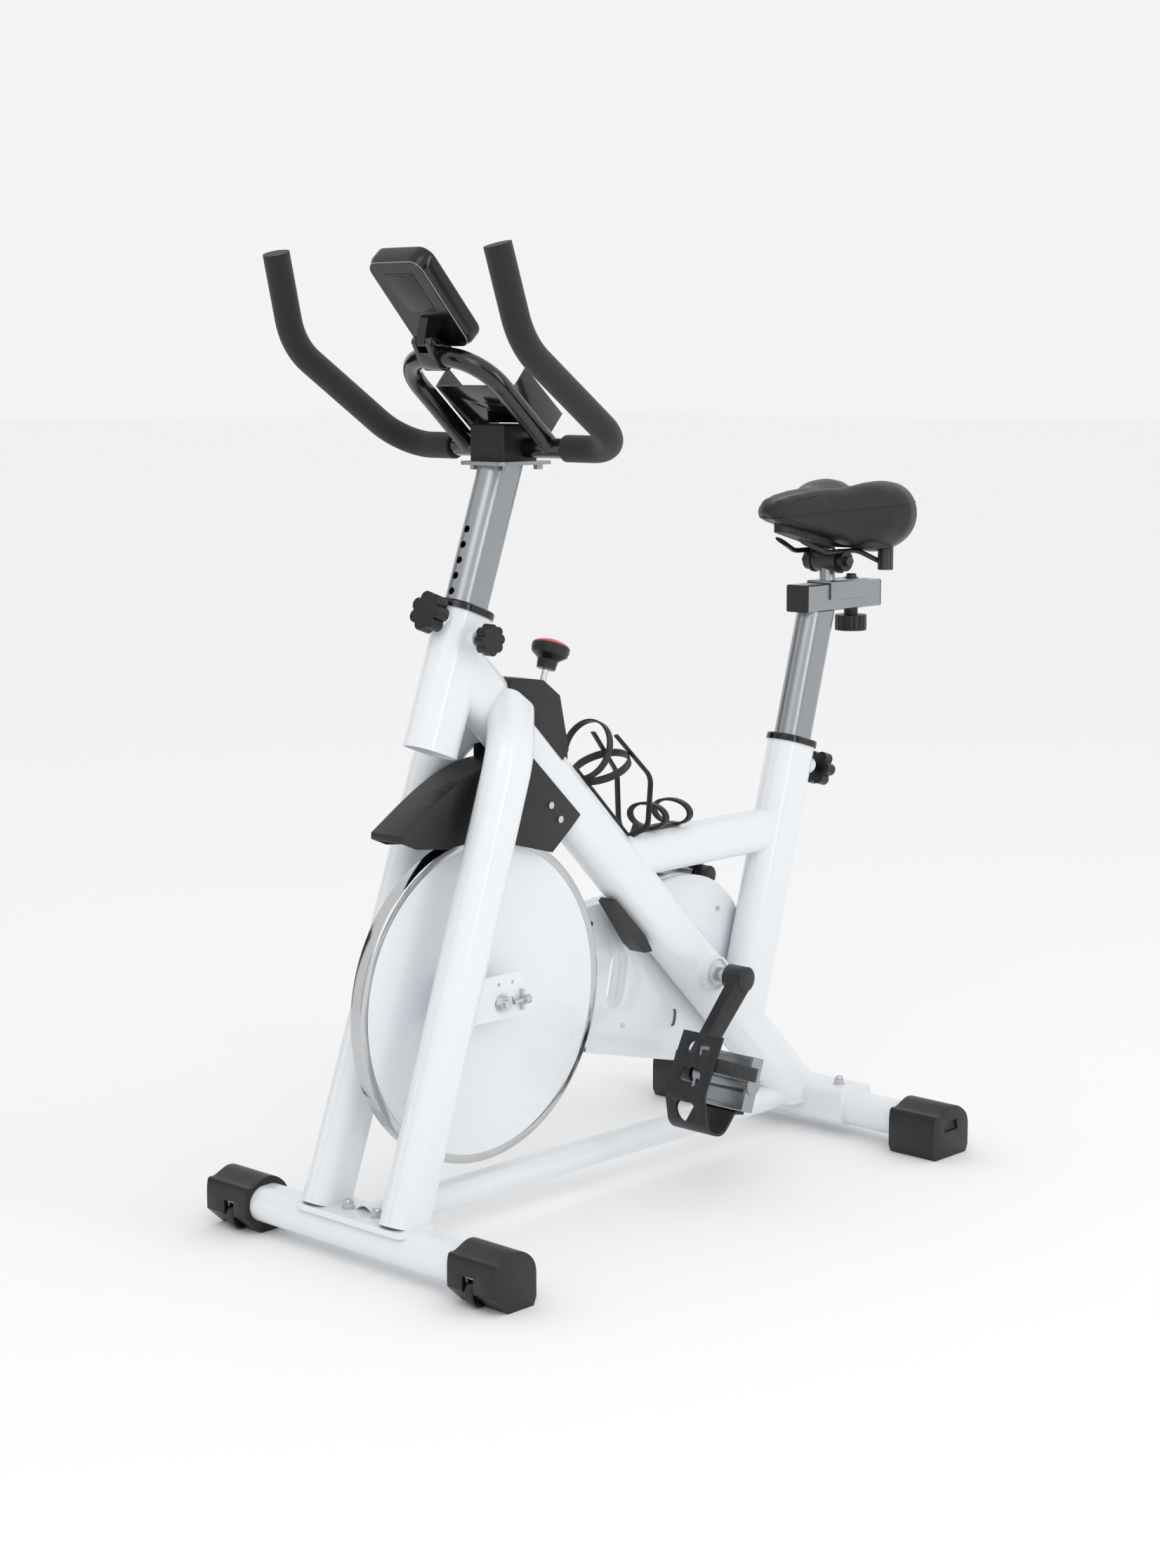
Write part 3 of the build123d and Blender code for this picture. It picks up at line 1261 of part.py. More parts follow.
# ---- saddle body, tilts on the clamp
with BuildPart() as saddle_clamp:
    for side in (1, -1):
        with BuildSketch(Plane.YZ.offset(side * 20.1)):
            with Locations((PIN_Y, PIVOT_Z)):
                Circle(17)
        extrude(amount=side * 4)
        with BuildSketch(Plane.YZ.offset(side * 24.1)):
            with Locations((PIN_Y, PIVOT_Z)):
                Circle(14)
        extrude(amount=side * 10)
        with BuildSketch(Plane.YZ.offset(side * 34.1)):
            with Locations((PIN_Y, PIVOT_Z)):
                RegularPolygon(8, 6)
        extrude(amount=side * 6)

RAIL_X = 29.0
RAIL_Z = PIVOT_Z + 14


def rail(side):
    """Steel wire under the saddle, from its nose through the clamp to its rear spring."""
    with BuildPart() as wire:
        with BuildLine() as path:
            FilletPolyline((side * 14, SADDLE_Y0 + 34, 845), (side * RAIL_X, PIN_Y - 38, RAIL_Z),
                           (side * RAIL_X, PIN_Y + 30, RAIL_Z), (side * 46, SADDLE_Y1 - 34, PIVOT_Z - 6),
                           radius=[40, 40])
        with BuildSketch(Plane(origin=path.line @ 0, z_dir=path.line % 0)):
            Circle(3.5)
        sweep(path=path.line)
    return wire.part


with BuildPart() as saddle_rails:
    for side in (1, -1):
        add(rail(side))
    add(saddle_clamp.part, mode=Mode.SUBTRACT)

with BuildPart() as saddle_springs:
    for side in (1, -1):
        with BuildSketch(Plane.XY.offset(PIVOT_Z - 14)):
            with Locations((side * 52, SADDLE_Y1 - 38)):
                Circle(11)
                Circle(7, mode=Mode.SUBTRACT)
        extrude(amount=SADDLE_Z0 - 6 - PIVOT_Z + 14)

# across the saddle at each Y: half width, underside height, height of the side seam, crown height
SADDLE_SECTIONS = (
    (SADDLE_Y0, 11, 874, 880, 887),
    (SADDLE_Y0 + 10, 25, 865, 884, 896),
    (SADDLE_Y0 + 45, 34, 858, 888, 903),
    (SADDLE_Y0 + 92, 47, 850, 891, 905),
    (SADDLE_Y0 + 132, 68, 842, 893, 907),
    (SADDLE_Y0 + 165, 92, 834, 895, 911),
    (SADDLE_Y0 + 195, 100, 829, 895, 912),
    (SADDLE_Y0 + 222, 92, 830, 893, 910),
    (SADDLE_Y1, 58, 840, 884, 897),
)


def saddle_section(y, half, under, seam, crown):
    """Cross-section of the saddle: flat underside, bulged side and crowned top."""
    right = [(half * 0.75, under + 1), (half, (under + seam) / 2 + 2), (half * 0.93, seam), (half * 0.55,
                                                                                             crown)]
    left = [(-x, z) for x, z in reversed(right)]
    with BuildSketch(Plane(origin=(0, y, 0), x_dir=(1, 0, 0), z_dir=(0, -1, 0))) as outline:
        with BuildLine():
            Spline((0, under), *right, (0, crown - 2), *left, periodic=True)
        make_face()
    return outline.sketch


with BuildPart() as saddle_cushion:
    add(loft([saddle_section(*section) for section in SADDLE_SECTIONS], ruled=True))

with BuildPart() as saddle_base:
    with BuildSketch(Plane.XY.offset(PIVOT_Z + 18)):
        with Locations((0, SADDLE_Y0 + 78)):
            RectangleRounded(40, 110, 16)
        with Locations((0, SADDLE_Y1 - 58)):
            RectangleRounded(132, 60, 20)
    extrude(amount=40)
    add(saddle_cushion.part, mode=Mode.SUBTRACT)
    with BuildSketch(Plane.XY.offset(SADDLE_Z1)):
        Rectangle(400, 1200)
    extrude(amount=-(SADDLE_Z1 - 856), mode=Mode.SUBTRACT)

for trimmed in (saddle_rails, saddle_springs):
    with trimmed:
        add(saddle_base.part, mode=Mode.SUBTRACT)
        add(saddle_cushion.part, mode=Mode.SUBTRACT)


def joined(*builders):
    """Pieces that are welded or screwed together for good, as one piece."""
    with BuildPart() as whole:
        for builder in builders:
            add(builder.part)
    return whole


# ---- write every piece
pieces = {
    "head_tube": head_tube,
    "down_tube": down_tube,
    "seat_tube": seat_tube,
    "top_tube": top_tube,
    "base_tube": base_tube,
    "fork_legs": joined(fork_legs, axle_plates),
    "front_stabilizer": front_stabilizer,
    "rear_stabilizer": rear_stabilizer,
    "front_end_caps": front_end_caps,
    "rear_end_caps": rear_end_caps,
    "stabilizer_nuts": joined(stabilizer_nuts, wheel_pins),
    "left_transport_wheel": transport_wheels["left"],
    "right_transport_wheel": transport_wheels["right"],
    "bottom_bracket": bottom_bracket,
    "head_collar": head_collar,
    "seat_collar": seat_collar,
    "belt_guard_inner": belt_guard_inner,
    "belt_guard_outer": belt_guard_outer,
    "drive_belt": drive_belt,
    "flywheel_rim": flywheel_rim,
    "flywheel_disc": joined(flywheel_disc, flywheel_screws),
    "flywheel_pulley": joined(flywheel_pulley, flywheel_bearing),
    "flywheel_axle": flywheel_axle,
    "axle_nuts": joined(axle_nuts, belt_tensioners),
    "crank_spindle": joined(crank_spindle, crank_pulley),
    "left_crank": left_crank,
    "right_crank": right_crank,
    "brake_housing": brake_housing,
    "brake_panels": brake_panels,
    "fender": fender,
    "brake_shoe": brake_shoe,
    "resistance_knob": joined(resistance_knob, knob_cap),
    "bottle_cages": joined(tall_bottle_cage, low_bottle_cage),
    "frame_screws": joined(frame_screws, cable_clip),
    "handlebar_pin_knob": handlebar_pin_knob,
    "head_side_knob": head_side_knob,
    "seat_pin_knob": seat_pin_knob,
    "handlebar_post": joined(handlebar_post, post_plate, handlebar_bolts),
    "handlebar_tube": joined(handlebar_tube, console_arch),
    "foam_grips": foam_grips,
    "stem_cover": stem_cover,
    "device_tray": device_tray,
    "console_clamp": console_clamp,
    "console_case": console_case,
    "console_face": joined(console_screen, console_button),
    "seat_post": seat_post,
    "seat_slider": seat_slider,
    "slider_end_plugs": slider_end_plugs,
    "slider_bracket": joined(slider_bracket, saddle_pin),
    "slider_bolt": slider_bolt,
    "slider_knob": slider_knob,
    "clamp_core": clamp_core,
    "saddle_clamp": saddle_clamp,
    "saddle_rails": joined(saddle_rails, saddle_springs),
    "saddle_base": saddle_base,
    "saddle_cushion": saddle_cushion,
}
for side in ("left", "right"):
    pieces[f"{side}_pedal"] = pedals[f"{side}_pedal"]
    pieces[f"{side}_toe_clip"] = pedals[f"{side}_toe_clip"] + pedals[f"{side}_toe_strap"]
    pieces[f"{side}_toe_clip"] -= pedals[f"{side}_pedal"]
for name, built in pieces.items():
    piece = built.part if isinstance(built, BuildPart) else built
    piece.label = name
    export_step(piece, f"parts/{name}.step")
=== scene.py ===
import bpy
import json
from math import cos, radians, sin
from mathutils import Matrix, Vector


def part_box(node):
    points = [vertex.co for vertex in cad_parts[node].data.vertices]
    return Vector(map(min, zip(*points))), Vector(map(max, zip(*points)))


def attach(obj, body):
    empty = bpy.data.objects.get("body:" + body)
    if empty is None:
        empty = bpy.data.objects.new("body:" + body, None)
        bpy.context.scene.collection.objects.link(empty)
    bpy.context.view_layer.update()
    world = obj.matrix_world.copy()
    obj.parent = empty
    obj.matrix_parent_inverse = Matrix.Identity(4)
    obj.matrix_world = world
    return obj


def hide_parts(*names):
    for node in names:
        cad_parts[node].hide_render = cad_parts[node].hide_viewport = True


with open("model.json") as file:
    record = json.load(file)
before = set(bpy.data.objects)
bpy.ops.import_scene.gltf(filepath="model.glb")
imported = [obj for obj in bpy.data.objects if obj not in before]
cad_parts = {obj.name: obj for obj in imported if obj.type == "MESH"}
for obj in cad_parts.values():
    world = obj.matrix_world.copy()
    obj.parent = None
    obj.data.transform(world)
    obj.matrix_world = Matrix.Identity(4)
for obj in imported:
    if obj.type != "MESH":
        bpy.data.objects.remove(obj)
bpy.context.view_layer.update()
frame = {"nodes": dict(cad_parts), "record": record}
bpy.ops.object.select_all(action="DESELECT")

# ---- camera, at the viewing angle the bike is shown from
CAMERA_PLACE = (2.3885, -2.6401, 1.0840)
CAMERA_TILT = 8.774
CAMERA_TURN = 43.191
CAMERA_ROLL = 0.08
bpy.ops.object.camera_add(location=CAMERA_PLACE,
                          rotation=(radians(90 - CAMERA_TILT), radians(CAMERA_ROLL), radians(CAMERA_TURN)))
camera = bpy.context.object
camera.name = "view_camera"
camera.data.sensor_fit = "VERTICAL"
camera.data.sensor_height = 36.0
camera.data.lens = 63.0
bpy.context.scene.camera = camera


# ---- shader groups that several finishes share
def new_group(name, inputs, outputs):
    """Empty shader group with named sockets: (name, kind, default) going in, (name, kind) coming out."""
    group = bpy.data.node_groups.new(name, "ShaderNodeTree")
    for socket_name, kind, default in inputs:
        socket = group.interface.new_socket(name=socket_name, in_out="INPUT", socket_type=kind)
        socket.default_value = default
    for socket_name, kind in outputs:
        group.interface.new_socket(name=socket_name, in_out="OUTPUT", socket_type=kind)
    start = group.nodes.new("NodeGroupInput")
    end = group.nodes.new("NodeGroupOutput")
    return group, start, end


def add_node(tree, kind, links=None, **values):
    """Node with its properties or socket defaults set, and its inputs linked."""
    node = tree.nodes.new(kind)
    for key, value in values.items():
        if hasattr(node, key):
            setattr(node, key, value)
        else:
            node.inputs[key.replace("_", " ")].default_value = value
    for key, source in (links or {}).items():
        tree.links.new(source, node.inputs[key])
    return node


def build_speckle_group():
    """Slow drift of tone and fine grain: a colour, a roughness and a grain height."""
    group, start, end = new_group(
        "tone_and_grain",
        [("Colour", "NodeSocketColor", (0.5, 0.5, 0.5, 1)), ("Drift", "NodeSocketFloat", 0.06),
         ("Drift Scale", "NodeSocketFloat", 9.0), ("Roughness", "NodeSocketFloat", 0.4),
         ("Roughness Drift", "NodeSocketFloat", 0.08), ("Grain Scale", "NodeSocketFloat", 900.0)],
        [("Colour", "NodeSocketColor"), ("Roughness", "NodeSocketFloat"), ("Grain", "NodeSocketFloat")])
    place = add_node(group, "ShaderNodeTexCoord")
    slow = add_node(group, "ShaderNodeTexNoise", {"Vector": place.outputs["Object"],
                                                  "Scale": start.outputs["Drift Scale"]}, Detail=4.0)
    centred = add_node(group, "ShaderNodeMath", {0: slow.outputs["Fac"]}, operation="SUBTRACT")
    centred.inputs[1].default_value = 0.5
    tone = add_node(group, "ShaderNodeMath", {0: centred.outputs[0], 1: start.outputs["Drift"]},
                    operation="MULTIPLY")
    value = add_node(group, "ShaderNodeMath", {0: tone.outputs[0]}, operation="ADD")
    value.inputs[1].default_value = 1.0
    shade = add_node(group, "ShaderNodeHueSaturation", {"Value": value.outputs[0],
                                                        "Color": start.outputs["Colour"]})
    rough_tone = add_node(group, "ShaderNodeMath",
                          {0: centred.outputs[0], 1: start.outputs["Roughness Drift"]},
                          operation="MULTIPLY")
    rough = add_node(group, "ShaderNodeMath", {0: rough_tone.outputs[0], 1: start.outputs["Roughness"]},
                     operation="ADD", use_clamp=True)
    fine = add_node(group, "ShaderNodeTexNoise", {"Vector": place.outputs["Object"],
                                                  "Scale": start.outputs["Grain Scale"]}, Detail=2.0)
    group.links.new(shade.outputs["Color"], end.inputs["Colour"])
    group.links.new(rough.outputs[0], end.inputs["Roughness"])
    group.links.new(fine.outputs["Fac"], end.inputs["Grain"])
    return group


def build_edge_group():
    """Mask of worn, rubbed edges: bright where the surface turns sharply outwards."""
    group, start, end = new_group(
        "edge_rub", [("Amount", "NodeSocketFloat", 0.5), ("Break Up", "NodeSocketFloat", 60.0)],
        [("Mask", "NodeSocketFloat")])
    place = add_node(group, "ShaderNodeTexCoord")
    geometry = add_node(group, "ShaderNodeNewGeometry")
    sharp = add_node(group, "ShaderNodeMapRange", {"Value": geometry.outputs["Pointiness"]})
    sharp.inputs["From Min"].default_value = 0.52
    sharp.inputs["From Max"].default_value = 0.62
    patches = add_node(group, "ShaderNodeTexNoise", {"Vector": place.outputs["Object"],
                                                     "Scale": start.outputs["Break Up"]}, Detail=3.0)
    broken = add_node(group, "ShaderNodeMath", {0: sharp.outputs["Result"], 1: patches.outputs["Fac"]},
                      operation="MULTIPLY")
    mask = add_node(group, "ShaderNodeMath", {0: broken.outputs[0], 1: start.outputs["Amount"]},
                    operation="MULTIPLY", use_clamp=True)
    group.links.new(mask.outputs[0], end.inputs["Mask"])
    return group


SPECKLE = build_speckle_group()
EDGE_RUB = build_edge_group()


def place_group(tree, group, **values):
    """Group node with its named inputs set."""
    node = tree.nodes.new("ShaderNodeGroup")
    node.node_tree = group
    for key, value in values.items():
        node.inputs[key.replace("_", " ")].default_value = value
    return node


def finish(name, colour, roughness, drift=0.06, rough_drift=0.08, drift_scale=9.0, grain=900.0,
           grain_depth=0.05, rub=0.0, rub_colour=(0.3, 0.3, 0.3), grain_node=None, **sockets):
    """Material with drifting tone, drifting roughness, fine relief and rubbed edges."""
    material = bpy.data.materials.new(name)
    material.use_nodes = True
    tree = material.node_tree
    shader = tree.nodes["Principled BSDF"]
    for key, value in sockets.items():
        shader.inputs[key.replace("_", " ")].default_value = value
    speckle = place_group(tree, SPECKLE, Colour=(*colour, 1), Drift=drift, Drift_Scale=drift_scale,
                          Roughness=roughness, Roughness_Drift=rough_drift, Grain_Scale=grain)
    base = speckle.outputs["Colour"]
    if rub:
        edges = place_group(tree, EDGE_RUB, Amount=rub)
        mix = add_node(tree, "ShaderNodeMix", {"Factor": edges.outputs["Mask"]}, data_type="RGBA")
        tree.links.new(base, mix.inputs[6])
        mix.inputs[7].default_value = (*rub_colour, 1)
        base = mix.outputs[2]
    tree.links.new(base, shader.inputs["Base Color"])
    tree.links.new(speckle.outputs["Roughness"], shader.inputs["Roughness"])
    relief = grain_node(tree) if grain_node else speckle.outputs["Grain"]
    bump = add_node(tree, "ShaderNodeBump", {"Height": relief}, Strength=grain_depth, Distance=0.001)
    tree.links.new(bump.outputs["Normal"], shader.inputs["Normal"])
    return material


def brushed(tree):
    """Fine lines along the length of a drawn tube."""
    place = add_node(tree, "ShaderNodeTexCoord")
    turn = add_node(tree, "ShaderNodeMapping", {"Vector": place.outputs["Object"]})
    turn.inputs["Scale"].default_value = (1.0, 1.0, 0.03)
    noise = add_node(tree, "ShaderNodeTexNoise", {"Vector": turn.outputs["Vector"]}, Scale=1400.0)
    return noise.outputs["Fac"]


def turned(tree):
    """Concentric tool marks round the flywheel's axis."""
    place = add_node(tree, "ShaderNodeTexCoord")
    centre = add_node(tree, "ShaderNodeMapping", {"Vector": place.outputs["Object"]}, vector_type="POINT")
    centre.inputs["Location"].default_value = (0, -FLYWHEEL_CENTRE.y, -FLYWHEEL_CENTRE.z)
    return add_node(tree, "ShaderNodeTexWave", {"Vector": centre.outputs["Vector"]}, wave_type="RINGS",
                    rings_direction="X", Scale=260.0, Distortion=0.4).outputs["Fac"]


def leather_grain(tree):
    """Pebbled creases of moulded leatherette."""
    place = add_node(tree, "ShaderNodeTexCoord")
    cells = add_node(tree, "ShaderNodeTexVoronoi", {"Vector": place.outputs["Object"]},
                     feature="DISTANCE_TO_EDGE", Scale=420.0)
    return add_node(tree, "ShaderNodeMapRange", {"Value": cells.outputs["Distance"]}, To_Max=1.0,
                    From_Max=0.25).outputs["Result"]


def foam_cells(tree):
    """Tiny open cells of sponge foam."""
    place = add_node(tree, "ShaderNodeTexCoord")
    cells = add_node(tree, "ShaderNodeTexVoronoi", {"Vector": place.outputs["Object"]}, Scale=1100.0)
    return cells.outputs["Distance"]


low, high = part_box("flywheel_rim")
FLYWHEEL_CENTRE = (low + high) / 2

FINISHES = {
    "white_paint": finish("white_paint", (0.80, 0.83, 0.86), 0.24, drift=0.02, grain=420.0,
                          grain_depth=0.03,
                          rub=0.15, rub_colour=(0.6, 0.62, 0.64), Coat_Weight=0.35, Coat_Roughness=0.08),
    "silver_steel": finish("silver_steel", (0.36, 0.38, 0.40), 0.30, drift=0.08, grain_node=brushed,
                           grain_depth=0.10, Metallic=1.0),
    "bright_steel": finish("bright_steel", (0.62, 0.63, 0.65), 0.16, drift=0.1, grain_depth=0.05,
                           Metallic=1.0),
    "rim_chrome": finish("rim_chrome", (0.55, 0.56, 0.57), 0.12, drift=0.06, grain_node=turned,
                         grain_depth=0.06, Metallic=1.0),
    "black_metal": finish("black_metal", (0.004, 0.004, 0.0045), 0.16, drift=0.2, grain_depth=0.03, rub=0.3,
                          rub_colour=(0.08, 0.08, 0.08), Coat_Weight=0.5, Coat_Roughness=0.06),
    "forged_black": finish("forged_black", (0.005, 0.005, 0.0055), 0.32, drift=0.3, grain=500.0,
                           grain_depth=0.25, rub=0.5, rub_colour=(0.10, 0.10, 0.10)),
    "matte_black": finish("matte_black", (0.005, 0.005, 0.0055), 0.42, drift=0.25, grain=1300.0,
                          grain_depth=0.30, rub=0.35, rub_colour=(0.06, 0.06, 0.06)),
    "gloss_black": finish("gloss_black", (0.004, 0.004, 0.0045), 0.14, drift=0.2, grain_depth=0.03),
    "console_black": finish("console_black", (0.005, 0.005, 0.0055), 0.18, drift=0.2, grain_depth=0.04),
    "display": finish("display", (0.16, 0.19, 0.17), 0.12, drift=0.08, grain_depth=0.02, Coat_Weight=0.6),
    "foam": finish("foam", (0.011, 0.011, 0.012), 0.80, drift=0.3, grain_node=foam_cells, grain_depth=0.45,
                   Sheen_Weight=0.15),
    "belt_rubber": finish("belt_rubber", (0.015, 0.015, 0.015), 0.7, drift=0.3, grain_depth=0.2),
    "saddle_skin": finish("saddle_skin", (0.005, 0.005, 0.006), 0.33, drift=0.3, rough_drift=0.15,
                          grain_node=leather_grain, grain_depth=0.35),
    "knob_black": finish("knob_black", (0.004, 0.004, 0.0045), 0.36, drift=0.25, grain=1500.0,
                         grain_depth=0.2, rub=0.4, rub_colour=(0.08, 0.08, 0.08)),
    # grey finish for the line round the console's glossy back plate: a painted highlight, not a trim
    "painted_highlight_line": finish("painted_highlight_line", (0.30, 0.31, 0.32), 0.25, drift=0.05, grain_depth=0.02),
    "red_cap": finish("red_cap", (0.62, 0.03, 0.02), 0.2, drift=0.1, grain_depth=0.03),
}

# ---- the CAD pieces, merged, bevelled and smoothed
SLOTS = {entry["node"]: entry["material_slot"] for entry in frame["record"]["subparts"]}
BODY_OF = {}
for body_name, members in frame["record"]["behaviour"]["bodies"].items():
    for member in members:
        BODY_OF[member] = body_name
SMOOTH_ANGLE = radians(32)


def hold(piece, body, slot, material=None):
    """Give a finished piece its finish and its body."""
    piece.data.materials.clear()
    piece.data.materials.append(FINISHES[material or slot])
    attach(piece, body)
    return piece


def smooth(piece, angle=SMOOTH_ANGLE):
    """Smooth shading across every edge flatter than the angle."""
    bpy.ops.object.select_all(action="DESELECT")
    piece.select_set(True)
    bpy.context.view_layer.objects.active = piece
    bpy.ops.object.shade_smooth_by_angle(angle=angle)
    piece.select_set(False)


def apply_all(piece):
    """Apply every modifier of a piece."""
    bpy.ops.object.select_all(action="DESELECT")
    piece.select_set(True)
    bpy.context.view_layer.objects.active = piece
    for modifier in list(piece.modifiers):
        bpy.ops.object.modifier_apply(modifier=modifier.name)
    piece.select_set(False)


def merged_copy(node, name):
    """Copy of a CAD node's mesh with its loose triangles merged and flat faces joined."""
    source = frame["nodes"][node]
    piece = bpy.data.objects.new(name, source.data.copy())
    bpy.context.scene.collection.objects.link(piece)
    bpy.ops.object.select_all(action="DESELECT")
    piece.select_set(True)
    bpy.context.view_layer.objects.active = piece
    bpy.ops.object.mode_set(mode="EDIT")
    bpy.ops.mesh.select_all(action="SELECT")
    bpy.ops.mesh.remove_doubles(threshold=0.00002)
    bpy.ops.mesh.customdata_custom_splitnormals_clear()
    bpy.ops.mesh.dissolve_limited(angle_limit=radians(0.3))
    bpy.ops.object.mode_set(mode="OBJECT")
    piece.select_set(False)
    return piece


def dress(node, bevel=0.0):
    """A CAD node's own shape with softened edges, standing for the node."""
    piece = merged_copy(node, node + "_finished")
    if bevel:
        edge = piece.modifiers.new("soft_edges", "BEVEL")
        edge.width = bevel
        edge.segments = 2
        edge.limit_method = "ANGLE"
        edge.angle_limit = radians(40)
        edge.use_clamp_overlap = True
        apply_all(piece)
    smooth(piece)
    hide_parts(node)
    return hold(piece, BODY_OF[node], SLOTS[node])


BEVELS = {"front_end_caps": 0.004, "rear_end_caps": 0.004, "left_crank": 0.003, "right_crank": 0.003,
          "fender": 0.001, "brake_panels": 0.0008, "brake_housing": 0.003, "flywheel_rim": 0.001,
          "belt_guard_inner": 0.002, "belt_guard_outer": 0.003, "slider_bracket": 0.0006,
          "left_toe_clip": 0.0015, "right_toe_clip": 0.0015, "console_clamp": 0.001,
          "device_tray": 0.0006, "bottle_cages": 0.0012}
REMADE = ("saddle_cushion",)
dressed = {}
for node in frame["nodes"]:
    if node not in REMADE:
        dressed[node] = dress(node, BEVELS.get(node, 0.0))


def repaint(piece, material, belongs):
    """Second finish on the faces of a piece whose middles pass a test."""
    piece.data.materials.append(FINISHES[material])
    for face in piece.data.polygons:
        if belongs(face.center):
            face.material_index = len(piece.data.materials) - 1


# red cap of the resistance knob, black cable clip among the bright screws
KNOB_LEAN = radians(20)
KNOB_CAP_DEPTH = 0.0065
knob_axis = Vector((0, sin(KNOB_LEAN), cos(KNOB_LEAN)))
knob_top = max(vertex.co.dot(knob_axis) for vertex in dressed["resistance_knob"].data.vertices)
repaint(dressed["resistance_knob"], "red_cap",
        lambda place: place.dot(knob_axis) > knob_top - KNOB_CAP_DEPTH)
CLIP_LOW = Vector((-0.008, -0.062, 0.305))
CLIP_HIGH = Vector((0.022, 0.025, 0.395))
repaint(dressed["frame_screws"], "matte_black",
        lambda place: all(CLIP_LOW[i] <= place[i] <= CLIP_HIGH[i] for i in range(3)))


# ---- saddle: stuffed cover with two lobes, a relief channel, a piped side seam and a stitched nose
def fade(value, start, end):
    """0 before start, 1 after end, smooth between them."""
    t = min(1.0, max(0.0, (value - start) / (end - start)))
    return t * t * (3 - 2 * t)


def activate(piece, mode=None):
    """Make a piece the only selected and active object."""
    bpy.ops.object.select_all(action="DESELECT")
    piece.select_set(True)
    bpy.context.view_layer.objects.active = piece
    if mode:
        bpy.ops.object.mode_set(mode=mode)


saddle_low, saddle_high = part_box("saddle_cushion")
SADDLE_VOXEL = 0.004
NOSE_Y = saddle_low.y
TAIL_Y = saddle_high.y


PUFF_PRESSURE = 3.0
PUFF_LIMIT = 0.003
PUFF_STEPS = 12


def puff(piece, pressure, limit):
    """Inflate a closed cover as cloth, keeping every point within a limit of where it was."""
    before = [vertex.co.copy() for vertex in piece.data.vertices]
    cloth = piece.modifiers.new("puff", "CLOTH")
    cloth.settings.use_pressure = True
    cloth.settings.uniform_pressure_force = pressure
    cloth.settings.effector_weights.gravity = 0.0
    cloth.settings.tension_stiffness = 40
    cloth.settings.compression_stiffness = 40
    cloth.settings.bending_stiffness = 2
    for step in range(1, PUFF_STEPS + 1):
        bpy.context.scene.frame_set(step)
    apply_all(piece)
    bpy.context.scene.frame_set(1)
    for vertex, start in zip(piece.data.vertices, before):
        moved = vertex.co - start
        if moved.length > limit:
            vertex.co = start + moved * (limit / moved.length)


CHANNEL = (0.015, 0.026)  # depth and half width of each dip or swelling
GROOVE = (0.004, 0.012)
LOBE = (0.004, 0.03)
LOBE_X = 0.055
NOTCH = (0.012, 0.02)
NOSE_TUCK = 0.004
NOSE_WAIST = 0.05


def bell(offset, shape):
    """Bell curve of a given height and half width."""
    height, width = shape
    return height * 2.718 ** -((offset / width) ** 2)


def shape_saddle(point):
    """Lobes, relief channel and nose of the saddle, as a shift of one point of its cover."""
    x, y, z = point
    along = (y - NOSE_Y) / (TAIL_Y - NOSE_Y)
    top = fade(z, saddle_low.z + 0.040, saddle_low.z + 0.072)
    channel = fade(along, 0.42, 0.80) * bell(x, CHANNEL)
    groove = fade(along, 0.06, 0.25) * (1 - fade(along, 0.55, 0.8)) * bell(x, GROOVE)
    lobe = fade(along, 0.5, 0.8) * bell(abs(x) - LOBE_X, LOBE)
    notch = fade(along, 0.9, 1.0) * bell(x, NOTCH)
    front = 1 - fade(along, 0.0, 0.45)
    under = 1 - fade(z, saddle_low.z + 0.010, saddle_low.z + 0.055)
    tuck = NOSE_TUCK * front * under
    waist = -x * NOSE_WAIST * front * under
    return Vector((waist, -notch, top * (lobe - channel - groove) + tuck))


def make_saddle():
    """The saddle's cover, inflated from its solid, then shaped."""
    piece = merged_copy("saddle_cushion", "saddle_cover")
    activate(piece)
    for kind, settings in (("REMESH", {"mode": "VOXEL", "voxel_size": SADDLE_VOXEL}),
                           ("SMOOTH", {"factor": 0.6, "iterations": 7})):
        modifier = piece.modifiers.new(kind.lower(), kind)
        for key, value in settings.items():
            setattr(modifier, key, value)
    apply_all(piece)
    puff(piece, PUFF_PRESSURE, PUFF_LIMIT)
    for vertex in piece.data.vertices:
        vertex.co += shape_saddle(vertex.co)
    soften = piece.modifiers.new("soften", "SMOOTH")
    soften.factor = 0.5
    soften.iterations = 5
    rounded = piece.modifiers.new("rounded", "SUBSURF")
    rounded.levels = 1
    rounded.render_levels = 1
    apply_all(piece)
    smooth(piece, radians(80))
    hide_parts("saddle_cushion")
    return hold(piece, "saddle", "saddle_skin")


def seam_bead(source, name, place, normal, radius, keep, body="saddle", slot="saddle_skin", material=None):
    """Bead along the line where a plane cuts a piece, kept where a test passes."""
    bead = bpy.data.objects.new(name, source.data.copy())
    bpy.context.scene.collection.objects.link(bead)
    activate(bead, "EDIT")
    bpy.ops.mesh.select_all(action="SELECT")
    bpy.ops.mesh.bisect(plane_co=place, plane_no=normal)
    bpy.ops.mesh.select_all(action="INVERT")
    bpy.ops.mesh.delete(type="VERT")
    bpy.ops.object.mode_set(mode="OBJECT")
    for vertex in bead.data.vertices:
        vertex.select = not keep(vertex.co)
    bpy.ops.object.mode_set(mode="EDIT")
    bpy.ops.mesh.select_mode(type="VERT")
    bpy.ops.mesh.delete(type="VERT")
    bpy.ops.object.mode_set(mode="OBJECT")
    bpy.ops.object.convert(target="CURVE")
    bead.data.bevel_depth = radius
    bead.data.bevel_resolution = 2
    bead.data.use_fill_caps = True
    bpy.ops.object.convert(target="MESH")
    bead = bpy.context.object
    smooth(bead, radians(60))
    return hold(bead, body, slot, material)


saddle = make_saddle()

